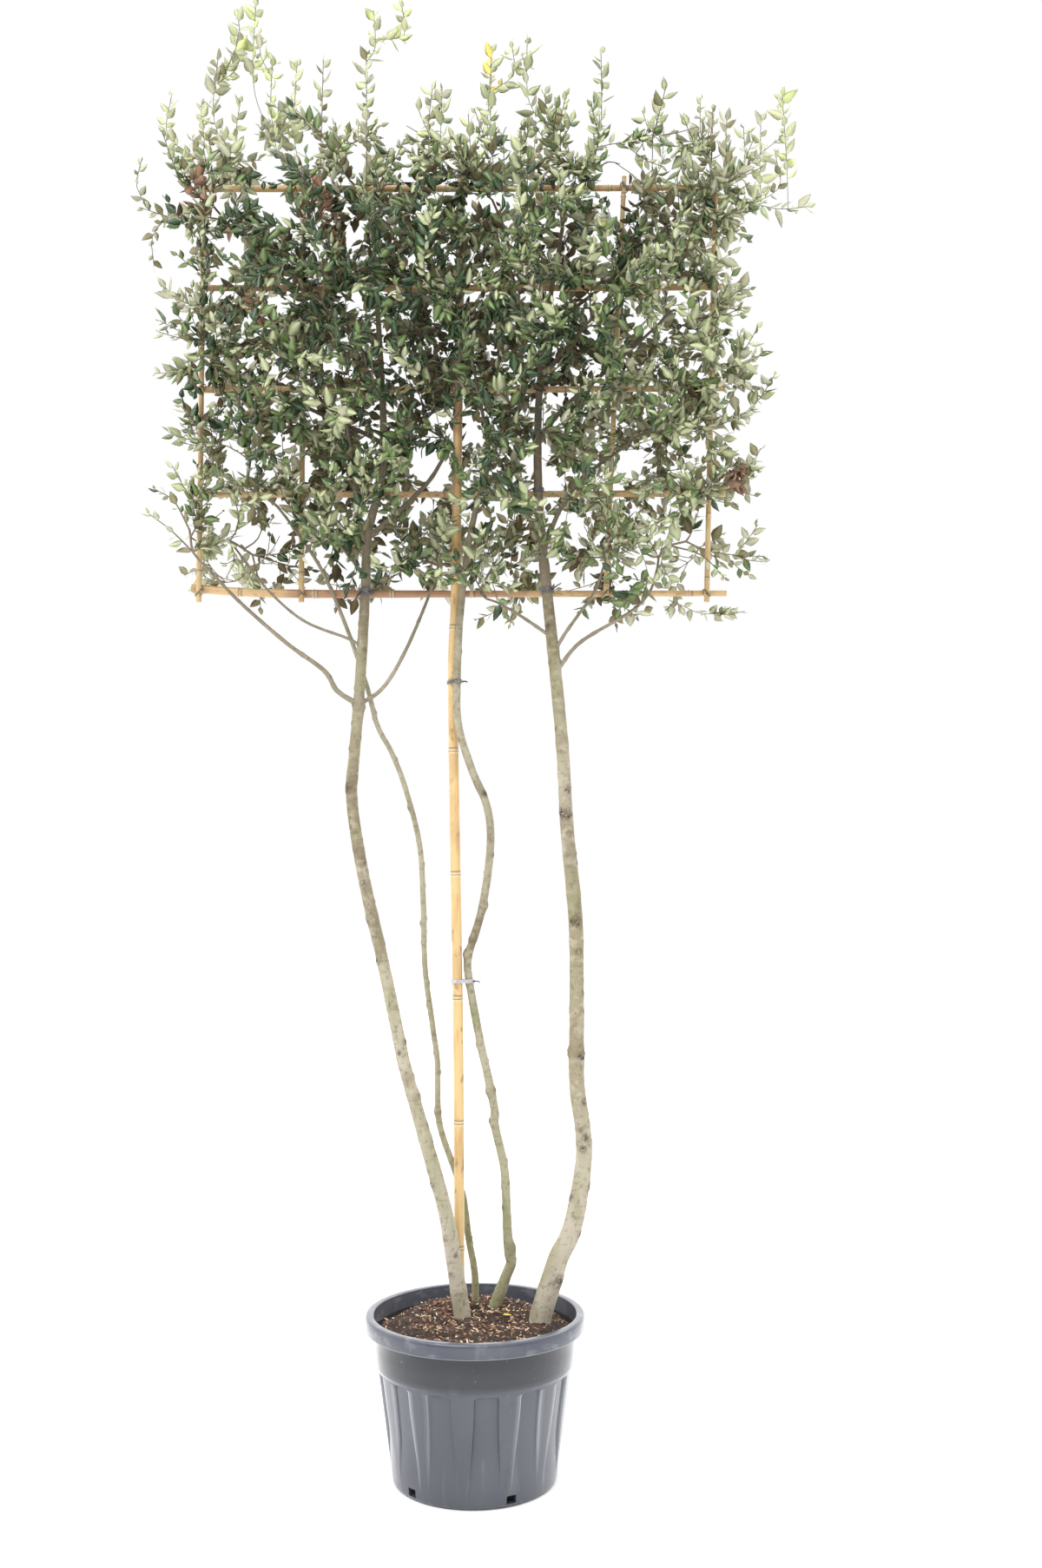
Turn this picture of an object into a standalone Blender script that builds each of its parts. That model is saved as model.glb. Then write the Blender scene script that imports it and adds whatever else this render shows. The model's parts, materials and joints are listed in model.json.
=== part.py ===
"""Potted espalier holm oak: a clump of four bare stems with a flat crown trained on a rack of canes.

Metres, +Z up. The origin is at the centre of the pot's flat underside. The rack and the crown spread
along X, and the side of the plant that is looked at faces -Y.
"""

import math
import random

import bmesh
import bpy
from mathutils import Vector
from mathutils.bvhtree import BVHTree

GAP = 0.0003  # clearance between two pieces that touch

# The pot, a ninety litre nursery container.
POT_HEIGHT = 0.445
RIM_RADIUS = 0.305
RIM_OPENING = 0.283
RIM_SKIRT = 0.037
RIM_ROUND = 0.006
COLLAR_TOP_RADIUS = 0.2815
COLLAR_FOOT_RADIUS = 0.275
COLLAR_FOOT_Z = 0.318
CHAMFER_FOOT_Z = 0.306
BODY_TOP_RADIUS = 0.2693
BODY_FOOT_RADIUS = 0.2277
FOOT_RADIUS = 0.221
FOOT_ROUND_Z = 0.012
POT_WALL = 0.004
POT_SIDES = 52
FLUTES = 13
FLUTE_TURN = math.radians(22.2)
FLUTE_DEPTH = 0.0075
FLUTE_FADE_Z = 0.06
DRAIN_HOLES = 5
DRAIN_WIDTH = 0.028
DRAIN_HEIGHT = 0.022
DRAIN_Z = 0.021
DRAIN_TURN = math.radians(-45.3)

# The bark mix in the pot, a low mound that the stems stand on.
SOIL_EDGE_Z = 0.392
SOIL_TOP_Z = 0.430
SOIL_MOUND_RADIUS = 0.235

# The rack: five bars behind four posts and the long pole that stands in the pot. A bar's shape is
# given at places along it as (share, rise above its height, radius), thick end first.
BAR_Y = 0.012
BAR_RADIUS = 0.010
LEVEL_BAR = ((0.0, 0.0, 0.0100), (0.55, 0.0, 0.0093), (1.0, 0.004, 0.0088))
LOWEST_BAR = ((0.0, 0.017, 0.0125), (0.16, 0.002, 0.0128), (0.55, 0.0, 0.0098), (1.0, 0.002, 0.0085))
BAR_ENDS_X = (-0.829, 0.725)
BAR_HEIGHTS = (2.481, 2.775, 3.088, 3.394, 3.697)
POST_RADIUS = 0.008
POST_LIPS = 0.027
POST_X = {  # at the lowest bar and at the highest
    "rack_post_far_left": (-0.804, -0.808),
    "rack_post_left": (-0.507, -0.514),
    "rack_post_right": (0.372, 0.433),
    "rack_post_far_right": (0.665, 0.703),
}
POLE_RADIUS = 0.0138
CANE_SIDES = 8
CANE_STEP = 1.0

# The two soft ties that hold the middle stem to the pole.
TIE_HEIGHTS = (1.363, 2.219)
TIE_WIDTH = 0.011
TIE_THICKNESS = 0.0018
TIE_SLACK = 0.0006
TIE_STEPS = 16

STEM_STEP = 0.13
BOUGH_STEP = 0.10

# Each limb: the limb it leaves, the number of sides, its radius along its length as (share, radius)
# pairs, and the points that its middle passes through, foot to tip.
POLE_PATH = (
    (-0.047, 0.062, SOIL_TOP_Z + GAP), (-0.051, 0.035, 1.180), (-0.068, -0.003, 2.180),
    (-0.061, -0.0145, 2.480), (-0.055, -0.0145, 3.080), (-0.048, -0.0145, 3.735),
)
STEMS = {
    "stem_left": (None, 8, ((0, 0.0240), (0.08, 0.0210), (0.2, 0.0185), (0.6, 0.0152), (1, 0.0055)), (
        (-0.036, 0.015, SOIL_TOP_Z + GAP), (-0.0565, 0.012, 0.556), (-0.085, 0.005, 0.720),
        (-0.133, 0.000, 0.892), (-0.200, 0.000, 1.122), (-0.216, 0.000, 1.193),
        (-0.266, 0.000, 1.425),
        (-0.319, 0.000, 1.649), (-0.356, 0.000, 1.871), (-0.350, -0.004, 2.020),
        (-0.338, -0.010, 2.165), (-0.322, -0.018, 2.460), (-0.314, -0.020, 2.650),
        (-0.279, -0.020, 2.803), (-0.272, -0.020, 2.960), (-0.284, -0.020, 3.200),
        (-0.308, -0.020, 3.569),
    )),
    "stem_thin": (None, 6, ((0, 0.0102), (0.2, 0.0094), (0.3, 0.0083), (0.7, 0.0072), (1, 0.0035)), (
        (-0.003, 0.130, SOIL_TOP_Z + GAP), (-0.006, 0.126, 0.525), (-0.0235, 0.121, 0.622),
        (-0.043, 0.112, 0.755), (-0.100, 0.100, 0.921), (-0.112, 0.095, 1.000),
        (-0.114, 0.089, 1.130), (-0.126, 0.085, 1.219), (-0.150, 0.077, 1.400),
        (-0.155, 0.068, 1.580), (-0.167, 0.060, 1.758), (-0.209, 0.049, 1.922),
        (-0.247, 0.044, 2.020), (-0.289, 0.038, 2.100), (-0.320, 0.034, 2.214),
        (-0.372, 0.025, 2.365),
        (-0.427, -0.020, 2.503), (-0.475, -0.032, 2.590), (-0.564, -0.048, 2.712),
        (-0.603, -0.055, 2.745),
    )),
    "stem_middle": (None, 8, ((0, 0.0175), (0.04, 0.0150), (0.1, 0.0124), (0.6, 0.0105), (1, 0.0050)), (
        (0.051, 0.100, SOIL_TOP_Z + GAP), (0.0855, 0.090, 0.522), (0.100, 0.084, 0.563),
        (0.092, 0.080, 0.602), (0.087, 0.072, 0.711), (0.080, 0.066, 0.830),
        (0.0545, 0.061, 0.946), (0.0530, 0.059, 0.992), (0.0335, 0.055, 1.090),
        (0.010, 0.050, 1.195), (-0.020, 0.036, 1.363), (-0.022, 0.034, 1.435),
        (0.017, 0.030, 1.575), (0.040, 0.020, 1.747), (0.031, 0.010, 1.860),
        (-0.012, -0.010, 1.965), (-0.050, -0.030, 2.090), (-0.055, -0.033, 2.219),
        (-0.043, -0.039, 2.450), (-0.010, -0.036, 2.684), (0.053, -0.034, 2.901),
        (0.124, -0.034, 3.020), (0.130, -0.032, 3.140), (0.094, -0.025, 3.461),
    )),
    "stem_right": (None, 8, ((0, 0.0315), (0.09, 0.0268), (0.15, 0.0230), (0.6, 0.0171), (1, 0.0055)), (
        (0.181, 0.000, SOIL_TOP_Z + GAP), (0.230, 0.000, 0.586), (0.2625, 0.000, 0.652),
        (0.2840, 0.000, 0.728), (0.305, 0.000, 0.868), (0.302, 0.000, 0.956),
        (0.286, 0.000, 1.080), (0.286, 0.000, 1.270),
        (0.284, 0.000, 1.528), (0.260, 0.000, 1.800), (0.247, -0.004, 2.033),
        (0.225, -0.013, 2.270), (0.204, -0.019, 2.470), (0.180, -0.020, 2.735),
        (0.178, -0.020, 3.000), (0.199, -0.020, 3.255), (0.250, -0.020, 3.563),
    )),
}
BOUGHS = {
    "bough_low_far_left": ("stem_left", 6, ((0, 0.0088), (1, 0.0045)), (
        (-0.340, -0.010, 2.155), (-0.400, -0.020, 2.194), (-0.437, -0.028, 2.251),
        (-0.544, -0.038, 2.329), (-0.680, -0.050, 2.448), (-0.766, -0.060, 2.539),
    )),
    "bough_low_left": ("stem_left", 6, ((0, 0.0050), (1, 0.0035)), (
        (-0.327, -0.013, 2.320), (-0.371, -0.036, 2.343), (-0.492, -0.062, 2.389),
        (-0.596, -0.078, 2.478), (-0.674, -0.090, 2.579),
    )),
    "bough_low_mid_left": ("stem_left", 6, ((0, 0.0060), (1, 0.0040)), (
        (-0.320, -0.018, 2.515), (-0.351, -0.050, 2.560), (-0.403, -0.090, 2.620),
    )),
    "bough_low_centre_left": ("stem_left", 6, ((0, 0.0072), (1, 0.0045)), (
        (-0.339, -0.010, 2.153), (-0.267, -0.022, 2.203), (-0.204, -0.028, 2.307),
        (-0.142, -0.034, 2.452), (-0.122, -0.038, 2.511),
    )),
    "bough_mid_centre_left": ("stem_left", 6, ((0, 0.0100), (1, 0.0060)), (
        (-0.312, -0.020, 2.640), (-0.233, -0.036, 2.704), (-0.142, -0.050, 2.791),
        (-0.096, -0.060, 2.860),
    )),
    "bough_mid_left": ("stem_left", 6, ((0, 0.0090), (1, 0.0050)), (
        (-0.316, -0.020, 2.600), (-0.347, -0.040, 2.740), (-0.356, -0.044, 2.850),
        (-0.392, -0.052, 3.050),
    )),
    "bough_mid_far_left": ("stem_left", 6, ((0, 0.0080), (1, 0.0045)), (
        (-0.272, -0.020, 2.915), (-0.330, 0.025, 2.960), (-0.398, 0.050, 2.996),
        (-0.544, 0.070, 3.073), (-0.680, 0.080, 3.161), (-0.740, 0.080, 3.230),
    )),
    "bough_high_left": ("stem_left", 6, ((0, 0.0070), (1, 0.0045)), (
        (-0.278, -0.020, 3.085), (-0.315, -0.050, 3.160), (-0.396, -0.090, 3.248),
    )),
    "bough_top_far_left": ("stem_left", 6, ((0, 0.0075), (1, 0.0045)), (
        (-0.284, -0.020, 3.195), (-0.332, 0.020, 3.253), (-0.401, 0.050, 3.328),
        (-0.520, 0.062, 3.432), (-0.625, 0.064, 3.512), (-0.700, 0.064, 3.572),
    )),
    "bough_centre": ("stem_middle", 6, ((0, 0.0070), (1, 0.0045)), (
        (0.040, -0.034, 2.862), (0.024, -0.062, 2.957), (-0.005, -0.095, 3.100),
    )),
    "bough_low_centre_right": ("stem_right", 6, ((0, 0.0062), (1, 0.0040)), (
        (0.216, -0.016, 2.350), (0.126, -0.036, 2.408), (0.058, -0.050, 2.445),
    )),
    "bough_low_right": ("stem_right", 6, ((0, 0.0060), (1, 0.0040)), (
        (0.222, -0.014, 2.300), (0.255, -0.032, 2.358), (0.335, -0.042, 2.470),
        (0.357, -0.050, 2.523),
    )),
    "bough_low_far_right": ("stem_right", 6, ((0, 0.0070), (1, 0.0040)), (
        (0.227, -0.012, 2.245), (0.297, -0.030, 2.331), (0.439, -0.045, 2.416),
        (0.496, -0.055, 2.474), (0.517, -0.065, 2.538),
    )),
    "bough_mid_right": ("stem_right", 6, ((0, 0.0080), (1, 0.0045)), (
        (0.200, -0.020, 2.555), (0.165, -0.050, 2.665), (0.116, -0.078, 2.755),
    )),
    "bough_mid_far_right": ("stem_right", 6, ((0, 0.0085), (1, 0.0050)), (
        (0.192, -0.020, 2.600), (0.240, -0.038, 2.715), (0.308, -0.044, 2.810),
        (0.434, -0.050, 2.904),
    )),
    "bough_high_right": ("stem_right", 6, ((0, 0.0065), (1, 0.0045)), (
        (0.182, -0.020, 3.090), (0.228, -0.055, 3.151), (0.290, -0.090, 3.214),
    )),
    "bough_high_far_right": ("stem_right", 6, ((0, 0.0080), (1, 0.0045)), (
        (0.178, -0.020, 2.925), (0.251, -0.042, 3.014), (0.349, -0.050, 3.098),
        (0.467, -0.055, 3.202), (0.530, -0.060, 3.260),
    )),
    "bough_top_far_right": ("stem_right", 6, ((0, 0.0072), (1, 0.0045)), (
        (0.197, -0.020, 3.232), (0.232, 0.020, 3.290), (0.283, 0.050, 3.346),
        (0.387, 0.062, 3.432), (0.505, 0.066, 3.541), (0.575, 0.070, 3.615),
    )),
}

# Each mass of leaves: the limb whose tip carries it, and its heart (x, z) in the rack's plane.
MASSES = {
    "leaves_low_far_left": ("bough_low_far_left", (-0.84, 2.69)),
    "leaves_low_left": ("bough_low_left", (-0.63, 2.58)),
    "leaves_low_mid_left": ("bough_low_mid_left", (-0.41, 2.68)),
    "leaves_low_centre_left": ("bough_low_centre_left", (-0.17, 2.58)),
    "leaves_low_centre_right": ("bough_low_centre_right", (0.06, 2.59)),
    "leaves_low_right": ("bough_low_right", (0.35, 2.60)),
    "leaves_low_far_right": ("bough_low_far_right", (0.63, 2.64)),
    "leaves_mid_far_left": ("stem_thin", (-0.66, 2.90)),
    "leaves_mid_left": ("bough_mid_left", (-0.42, 3.04)),
    "leaves_mid_centre_left": ("bough_mid_centre_left", (-0.15, 2.97)),
    "leaves_mid_right": ("bough_mid_right", (0.12, 2.87)),
    "leaves_mid_far_right": ("bough_mid_far_right", (0.56, 2.95)),
    "leaves_high_far_left": ("bough_mid_far_left", (-0.80, 3.22)),
    "leaves_high_left": ("bough_high_left", (-0.46, 3.37)),
    "leaves_high_centre": ("bough_centre", (-0.08, 3.30)),
    "leaves_high_right": ("bough_high_right", (0.33, 3.34)),
    "leaves_high_far_right": ("bough_high_far_right", (0.67, 3.29)),
    "leaves_top_far_left": ("bough_top_far_left", (-0.80, 3.66)),
    "leaves_top_left": ("stem_left", (-0.40, 3.74)),
    "leaves_top_centre": ("stem_middle", (0.03, 3.69)),
    "leaves_top_right": ("stem_right", (0.36, 3.77)),
    "leaves_top_far_right": ("bough_top_far_right", (0.71, 3.70)),
}

# The crown: a flat block of foliage, and the shoots (x, z) that reach out of it.
CROWN_X = (-0.90, 0.80)
CROWN_Z = (2.44, 3.86)
CROWN_HALF_DEPTH = 0.27
CROWN_EDGE_DEPTH = 0.55
CROWN_FRINGE = 0.06
SHOOT_TIPS = (
    (-0.87, 2.47), (-0.93, 2.69), (-0.95, 2.80), (-0.91, 2.94), (-0.97, 3.11), (-0.95, 3.24),
    (-0.98, 3.50), (-1.00, 3.64), (-0.99, 3.77), (-0.93, 4.03), (-0.77, 4.09), (-0.66, 4.27),
    (-0.56, 4.16), (-0.43, 4.04), (-0.31, 4.23), (-0.23, 4.27), (-0.10, 3.94), (0.10, 4.07),
    (0.20, 3.99), (0.36, 4.05), (0.52, 3.90), (0.76, 3.99), (0.90, 3.98), (0.97, 3.62),
    (0.83, 3.27), (0.85, 2.92), (0.81, 2.77), (0.74, 2.50), (-0.01, 2.42), (0.30, 2.43),
)
SHOOT_SPREAD = 0.16
SKY_WINDOWS = (  # (x, z) and half sizes of the gaps that show sky
    (-0.64, 2.67, 0.07, 0.10), (0.28, 2.73, 0.05, 0.06), (0.49, 2.54, 0.06, 0.06),
    (0.49, 3.62, 0.05, 0.11), (-0.23, 2.72, 0.04, 0.04),
)

# Twigs and leaves of a mass.
GOALS_PER_MASS = 5
GOAL_TRIALS = 40
TWIG_SIDES = 3
TWIG_STEP = 0.13
TWIG_TIP_RADIUS = 0.0024
TWIG_FORK_RADIUS = 0.0042
TWIG_BEND = 0.10
LIMB_CLEARANCE = 0.002
CELL_CLEARANCE = 0.0015
LEAF_SPACING = 0.03
CELL_REACH = 0.3
SPOT_TRIALS = 1500
SIDE_SPOT_EVERY = 6
SHOOT_SPOTS = 6
SHOOT_END_BONUS = 100
ROLLS_PER_SEAT = 3
LEAF_SINK = 0.0006
END_LEAF_SINK = 0.0015
LEAF_LENGTH = (0.17, 0.22)
LEAF_WIDTH_SHARE = 0.62
LEAF_THICKNESS_SHARE = 0.016
LEAF_FOLD_SHARE = 0.05
LEAF_SIZES = (1.1, 0.95, 0.8, 0.65)
LEAF_LEAN = math.radians(52)
SHOOT_LEAF_SHARE = 0.70
MAX_PIECES = 23
SEED = 7

COLOURS = {  # base colour, roughness
    "pot_plastic": ((0.115, 0.125, 0.145), 0.55),
    "bark_mix": ((0.130, 0.075, 0.048), 0.95),
    "stem_bark": ((0.330, 0.300, 0.205), 0.85),
    "bough_bark": ((0.230, 0.200, 0.135), 0.85),
    "cane": ((0.620, 0.390, 0.150), 0.45),
    "tie": ((0.200, 0.190, 0.200), 0.60),
    "leaf": ((0.110, 0.165, 0.070), 0.50),
}


def clear_scene():
    for thing in list(bpy.data.objects):
        bpy.data.objects.remove(thing, do_unlink=True)


def make_material(name):
    colour, roughness = COLOURS[name]
    material = bpy.data.materials.new(name)
    material.use_nodes = True
    shader = material.node_tree.nodes["Principled BSDF"]
    shader.inputs["Base Color"].default_value = (*colour, 1)
    shader.inputs["Roughness"].default_value = roughness
    shader.inputs["Metallic"].default_value = 0.0
    return material


def make_object(name, vertices, faces, material=None):
    """One named object whose faces point outwards."""
    mesh = bpy.data.meshes.new(name)
    mesh.from_pydata([tuple(v) for v in vertices], [], faces)
    form = bmesh.new()
    form.from_mesh(mesh)
    bmesh.ops.recalc_face_normals(form, faces=form.faces)
    form.to_mesh(mesh)
    form.free()
    thing = bpy.data.objects.new(name, mesh)
    bpy.context.scene.collection.objects.link(thing)
    if material:
        mesh.materials.append(material)
    return thing


def shade_round(thing, crease=40):
    thing.data.shade_smooth()
    thing.data.set_sharp_from_angle(angle=math.radians(crease))


def bake_modifiers(thing):
    """Puts the evaluated mesh in place of the object's mesh and its modifiers."""
    graph = bpy.context.evaluated_depsgraph_get()
    baked = bpy.data.meshes.new_from_object(thing.evaluated_get(graph))
    old = thing.data
    thing.modifiers.clear()
    thing.data = baked
    bpy.data.meshes.remove(old)


def cut_with(thing, cutter):
    """Takes the cutter's volume out of the object and removes the cutter."""
    cut = thing.modifiers.new("cut", "BOOLEAN")
    cut.operation = "DIFFERENCE"
    cut.solver = "EXACT"
    cut.object = cutter
    bake_modifiers(thing)
    bpy.data.objects.remove(cutter, do_unlink=True)


def smooth_path(points, step):
    """Points about a step apart on a smooth curve through the given ones."""
    knots = [Vector(p) for p in points]
    knots = [2 * knots[0] - knots[1], *knots, 2 * knots[-1] - knots[-2]]
    path = [knots[1]]
    for before, start, end, after in zip(knots, knots[1:], knots[2:], knots[3:]):
        count = max(1, round((end - start).length / step))
        for i in range(1, count + 1):
            t = i / count
            path.append(0.5 * (
                2 * start + (end - before) * t
                + (2 * before - 5 * start + 4 * end - after) * t ** 2
                + (3 * start - before - 3 * end + after) * t ** 3
            ))
    return path


def shares_along(path):
    """How far along the path each of its points is, from 0 to 1."""
    run = [0.0]
    for start, end in zip(path, path[1:]):
        run.append(run[-1] + (end - start).length)
    return [r / run[-1] for r in run]


def radius_at(taper, share):
    for (s0, r0), (s1, r1) in zip(taper, taper[1:]):
        if share <= s1:
            return r0 + (r1 - r0) * (share - s0) / (s1 - s0)
    return taper[-1][1]


def tube(path, radii, sides, level_foot=False):
    """Vertices and faces of a closed tube round a path, turned as little as possible on its way."""
    tangents = []
    for i in range(len(path)):
        ahead = path[min(i + 1, len(path) - 1)]
        behind = path[max(i - 1, 0)]
        tangents.append((ahead - behind).normalized())
    if level_foot:
        tangents[0] = Vector((0, 0, 1))
    side = Vector((1, 0, 0)) if abs(tangents[0].x) < 0.9 else Vector((0, 1, 0))
    vertices = []
    for point, tangent, radius in zip(path, tangents, radii):
        side = (side - tangent * side.dot(tangent)).normalized()
        other = tangent.cross(side)
        for k in range(sides):
            turn = 2 * math.pi * (k + 0.5) / sides
            vertices.append(point + radius * (math.cos(turn) * side + math.sin(turn) * other))
    faces = [tuple(range(sides)), tuple(range(len(vertices) - sides, len(vertices)))]
    for ring in range(len(path) - 1):
        for k in range(sides):
            a = ring * sides + k
            b = ring * sides + (k + 1) % sides
            faces.append((a, b, b + sides, a + sides))
    return vertices, faces


class Limb:
    """A tapering limb: its path, its radii, and the closed tubes made from them."""

    def __init__(self, name, spec, step, level_foot=False):
        self.name = name
        self.parent, self.sides, taper, points = spec
        self.path = smooth_path(points, step)
        self.radii = [radius_at(taper, share) for share in shares_along(self.path)]
        self.level_foot = level_foot

    def swollen(self, by):
        """The limb's tube, grown by a distance measured square to its flat sides."""
        extra = by / math.cos(math.pi / self.sides)
        return tube(self.path, [r + extra for r in self.radii], self.sides, self.level_foot)

    def tip(self):
        return self.path[-1], (self.path[-1] - self.path[-2]).normalized(), self.radii[-1]


def build_pot(material):
    """A turned vessel with a tapering collar, whose wall below is drawn in between its ribs."""
    body_slope = (BODY_TOP_RADIUS - BODY_FOOT_RADIUS) / (CHAMFER_FOOT_Z - FOOT_ROUND_Z)
    lip_z = POT_HEIGHT - RIM_ROUND
    skirt_z = POT_HEIGHT - RIM_SKIRT

    def body_radius(z):
        return BODY_FOOT_RADIUS + body_slope * (z - FOOT_ROUND_Z)

    def wall_radius(z):
        return body_radius(z) - FLUTE_DEPTH - POT_WALL

    def collar_inner(z):
        rise = (z - COLLAR_FOOT_Z) / (skirt_z - COLLAR_FOOT_Z)
        return COLLAR_FOOT_RADIUS + (COLLAR_TOP_RADIUS - COLLAR_FOOT_RADIUS) * rise - POT_WALL

    flute_top_z = CHAMFER_FOOT_Z - 0.003
    profile = [  # radius, height, how deep the flutes are there
        (FOOT_RADIUS, 0.0, 0.0),
        (body_radius(FOOT_ROUND_Z), FOOT_ROUND_Z, 0.0),
        (body_radius(FLUTE_FADE_Z), FLUTE_FADE_Z, 0.0),
        (body_radius(0.15), 0.15, 0.85 * FLUTE_DEPTH),
        (body_radius(0.285), 0.285, FLUTE_DEPTH),
        (body_radius(flute_top_z), flute_top_z, 0.0),
        (COLLAR_FOOT_RADIUS, COLLAR_FOOT_Z, 0.0),
        (COLLAR_TOP_RADIUS, skirt_z, 0.0),
        (RIM_RADIUS - 0.002, skirt_z, 0.0),
        (RIM_RADIUS, lip_z, 0.0),
        (RIM_RADIUS - RIM_ROUND, POT_HEIGHT, 0.0),
        (RIM_OPENING, POT_HEIGHT, 0.0),
        (collar_inner(skirt_z), skirt_z, 0.0),
        (collar_inner(COLLAR_FOOT_Z), COLLAR_FOOT_Z, 0.0),
        (wall_radius(CHAMFER_FOOT_Z), CHAMFER_FOOT_Z, 0.0),
        (wall_radius(POT_WALL), POT_WALL, 0.0),
    ]
    per_flute = POT_SIDES // FLUTES
    vertices = []
    for radius, z, depth in profile:
        for k in range(POT_SIDES):
            drawn_in = depth if k % per_flute < per_flute // 2 else 0.0
            turn = FLUTE_TURN + 2 * math.pi * (k + 0.5) / POT_SIDES
            reach = radius - drawn_in
            vertices.append((reach * math.cos(turn), reach * math.sin(turn), z))
    faces = [tuple(range(POT_SIDES)), tuple(range(len(vertices) - POT_SIDES, len(vertices)))]
    for ring in range(len(profile) - 1):
        for k in range(POT_SIDES):
            a = ring * POT_SIDES + k
            b = ring * POT_SIDES + (k + 1) % POT_SIDES
            faces.append((a, b, b + POT_SIDES, a + POT_SIDES))
    pot = make_object("pot", vertices, faces, material)
    cut_with(pot, drain_cutter())
    shade_round(pot)
    soil_wall = [
        (wall_radius(POT_WALL), POT_WALL + GAP),
        (wall_radius(CHAMFER_FOOT_Z), CHAMFER_FOOT_Z),
        (collar_inner(COLLAR_FOOT_Z), COLLAR_FOOT_Z),
        (collar_inner(SOIL_EDGE_Z), SOIL_EDGE_Z),
    ]
    return soil_wall


def drain_cutter():
    """Bars of oblong section that pass through the wall just above the pot's floor."""
    vertices, faces = [], []
    for hole in range(DRAIN_HOLES):
        turn = DRAIN_TURN - math.pi / 2 + 2 * math.pi * hole / DRAIN_HOLES
        out = Vector((math.cos(turn), math.sin(turn), 0))
        across = Vector((-out.y, out.x, 0))
        start = len(vertices)
        for reach in (FOOT_RADIUS - 0.03, FOOT_RADIUS + 0.03):
            for side, up in ((-1, -1), (1, -1), (1, 1), (-1, 1)):
                vertices.append(out * reach + across * (side * DRAIN_WIDTH / 2)
                                + Vector((0, 0, DRAIN_Z + up * DRAIN_HEIGHT / 2)))
        box = [(0, 1, 2, 3), (4, 5, 6, 7), (0, 1, 5, 4), (1, 2, 6, 5), (2, 3, 7, 6), (3, 0, 4, 7)]
        faces += [tuple(start + i for i in face) for face in box]
    cutter = make_object("drain_cutter", vertices, faces)
    cutter.hide_render = True
    cutter.display_type = "WIRE"
    return cutter


def build_soil(wall, material):
    """The bark mix that fills the pot: a plug with a low, flat-topped mound."""
    slack = GAP / math.cos(math.pi / POT_SIDES)
    profile = [(radius - slack, z) for radius, z in wall] + [(SOIL_MOUND_RADIUS, SOIL_TOP_Z)]
    vertices = []
    for radius, z in profile:
        for k in range(POT_SIDES):
            turn = FLUTE_TURN + 2 * math.pi * (k + 0.5) / POT_SIDES
            vertices.append((radius * math.cos(turn), radius * math.sin(turn), z))
    faces = [tuple(range(POT_SIDES)), tuple(range(len(vertices) - POT_SIDES, len(vertices)))]
    for ring in range(len(profile) - 1):
        for k in range(POT_SIDES):
            a = ring * POT_SIDES + k
            b = ring * POT_SIDES + (k + 1) % POT_SIDES
            faces.append((a, b, b + POT_SIDES, a + POT_SIDES))
    shade_round(make_object("soil", vertices, faces, material))


def build_limb(limb, parents, material):
    """A stem, or a bough whose foot is cut to the side of the limb that it leaves."""
    thing = make_object(limb.name, *limb.swollen(0), material)
    if limb.parent:
        cutter = make_object("foot_cutter", *parents[limb.parent].swollen(GAP))
        cut_with(thing, cutter)
    shade_round(thing, 60)


def bar_limb(number, z, shape):
    """A bar, its back face set back where it is thicker; every other one has its thick end right."""
    left, right = BAR_ENDS_X
    points = [
        (left + (right - left) * share, BAR_Y + max(0.0, radius - BAR_RADIUS), z + rise)
        for share, rise, radius in shape
    ]
    if number % 2 == 0:
        points.reverse()
    taper = [(share, radius) for share, _, radius in shape]
    return Limb(f"rack_bar_{number}", (None, CANE_SIDES, taper, points), CANE_STEP)


def rack_limbs():
    """The bars, the posts in front of them and the pole, as straight or slightly bowed canes."""
    limbs = []
    for number, z in enumerate(BAR_HEIGHTS, start=1):
        limbs.append(bar_limb(number, z, LOWEST_BAR if number == 1 else LEVEL_BAR))
    post_y = BAR_Y - BAR_RADIUS - POST_RADIUS - GAP
    for name, (low_x, high_x) in POST_X.items():
        low = Vector((low_x, post_y, BAR_HEIGHTS[0] - POST_LIPS))
        high = Vector((high_x, post_y, BAR_HEIGHTS[-1] + POST_LIPS))
        taper = ((0, POST_RADIUS), (1, 0.85 * POST_RADIUS))
        limbs.append(Limb(name, (None, CANE_SIDES, taper, (low, high)), CANE_STEP))
    taper = ((0, 1.08 * POLE_RADIUS), (0.5, 1.03 * POLE_RADIUS), (1, 0.92 * POLE_RADIUS))
    limbs.append(Limb("rack_pole", (None, CANE_SIDES, taper, POLE_PATH), 0.5, True))
    return limbs


def section_at(limb, z):
    """Centre and radius of a limb's level section."""
    for i in range(len(limb.path) - 1):
        low, high = limb.path[i], limb.path[i + 1]
        if low.z <= z <= high.z:
            t = (z - low.z) / (high.z - low.z)
            return low.lerp(high, t), limb.radii[i] + (limb.radii[i + 1] - limb.radii[i]) * t
    raise ValueError(f"{limb.name} does not reach {z}")


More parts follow.
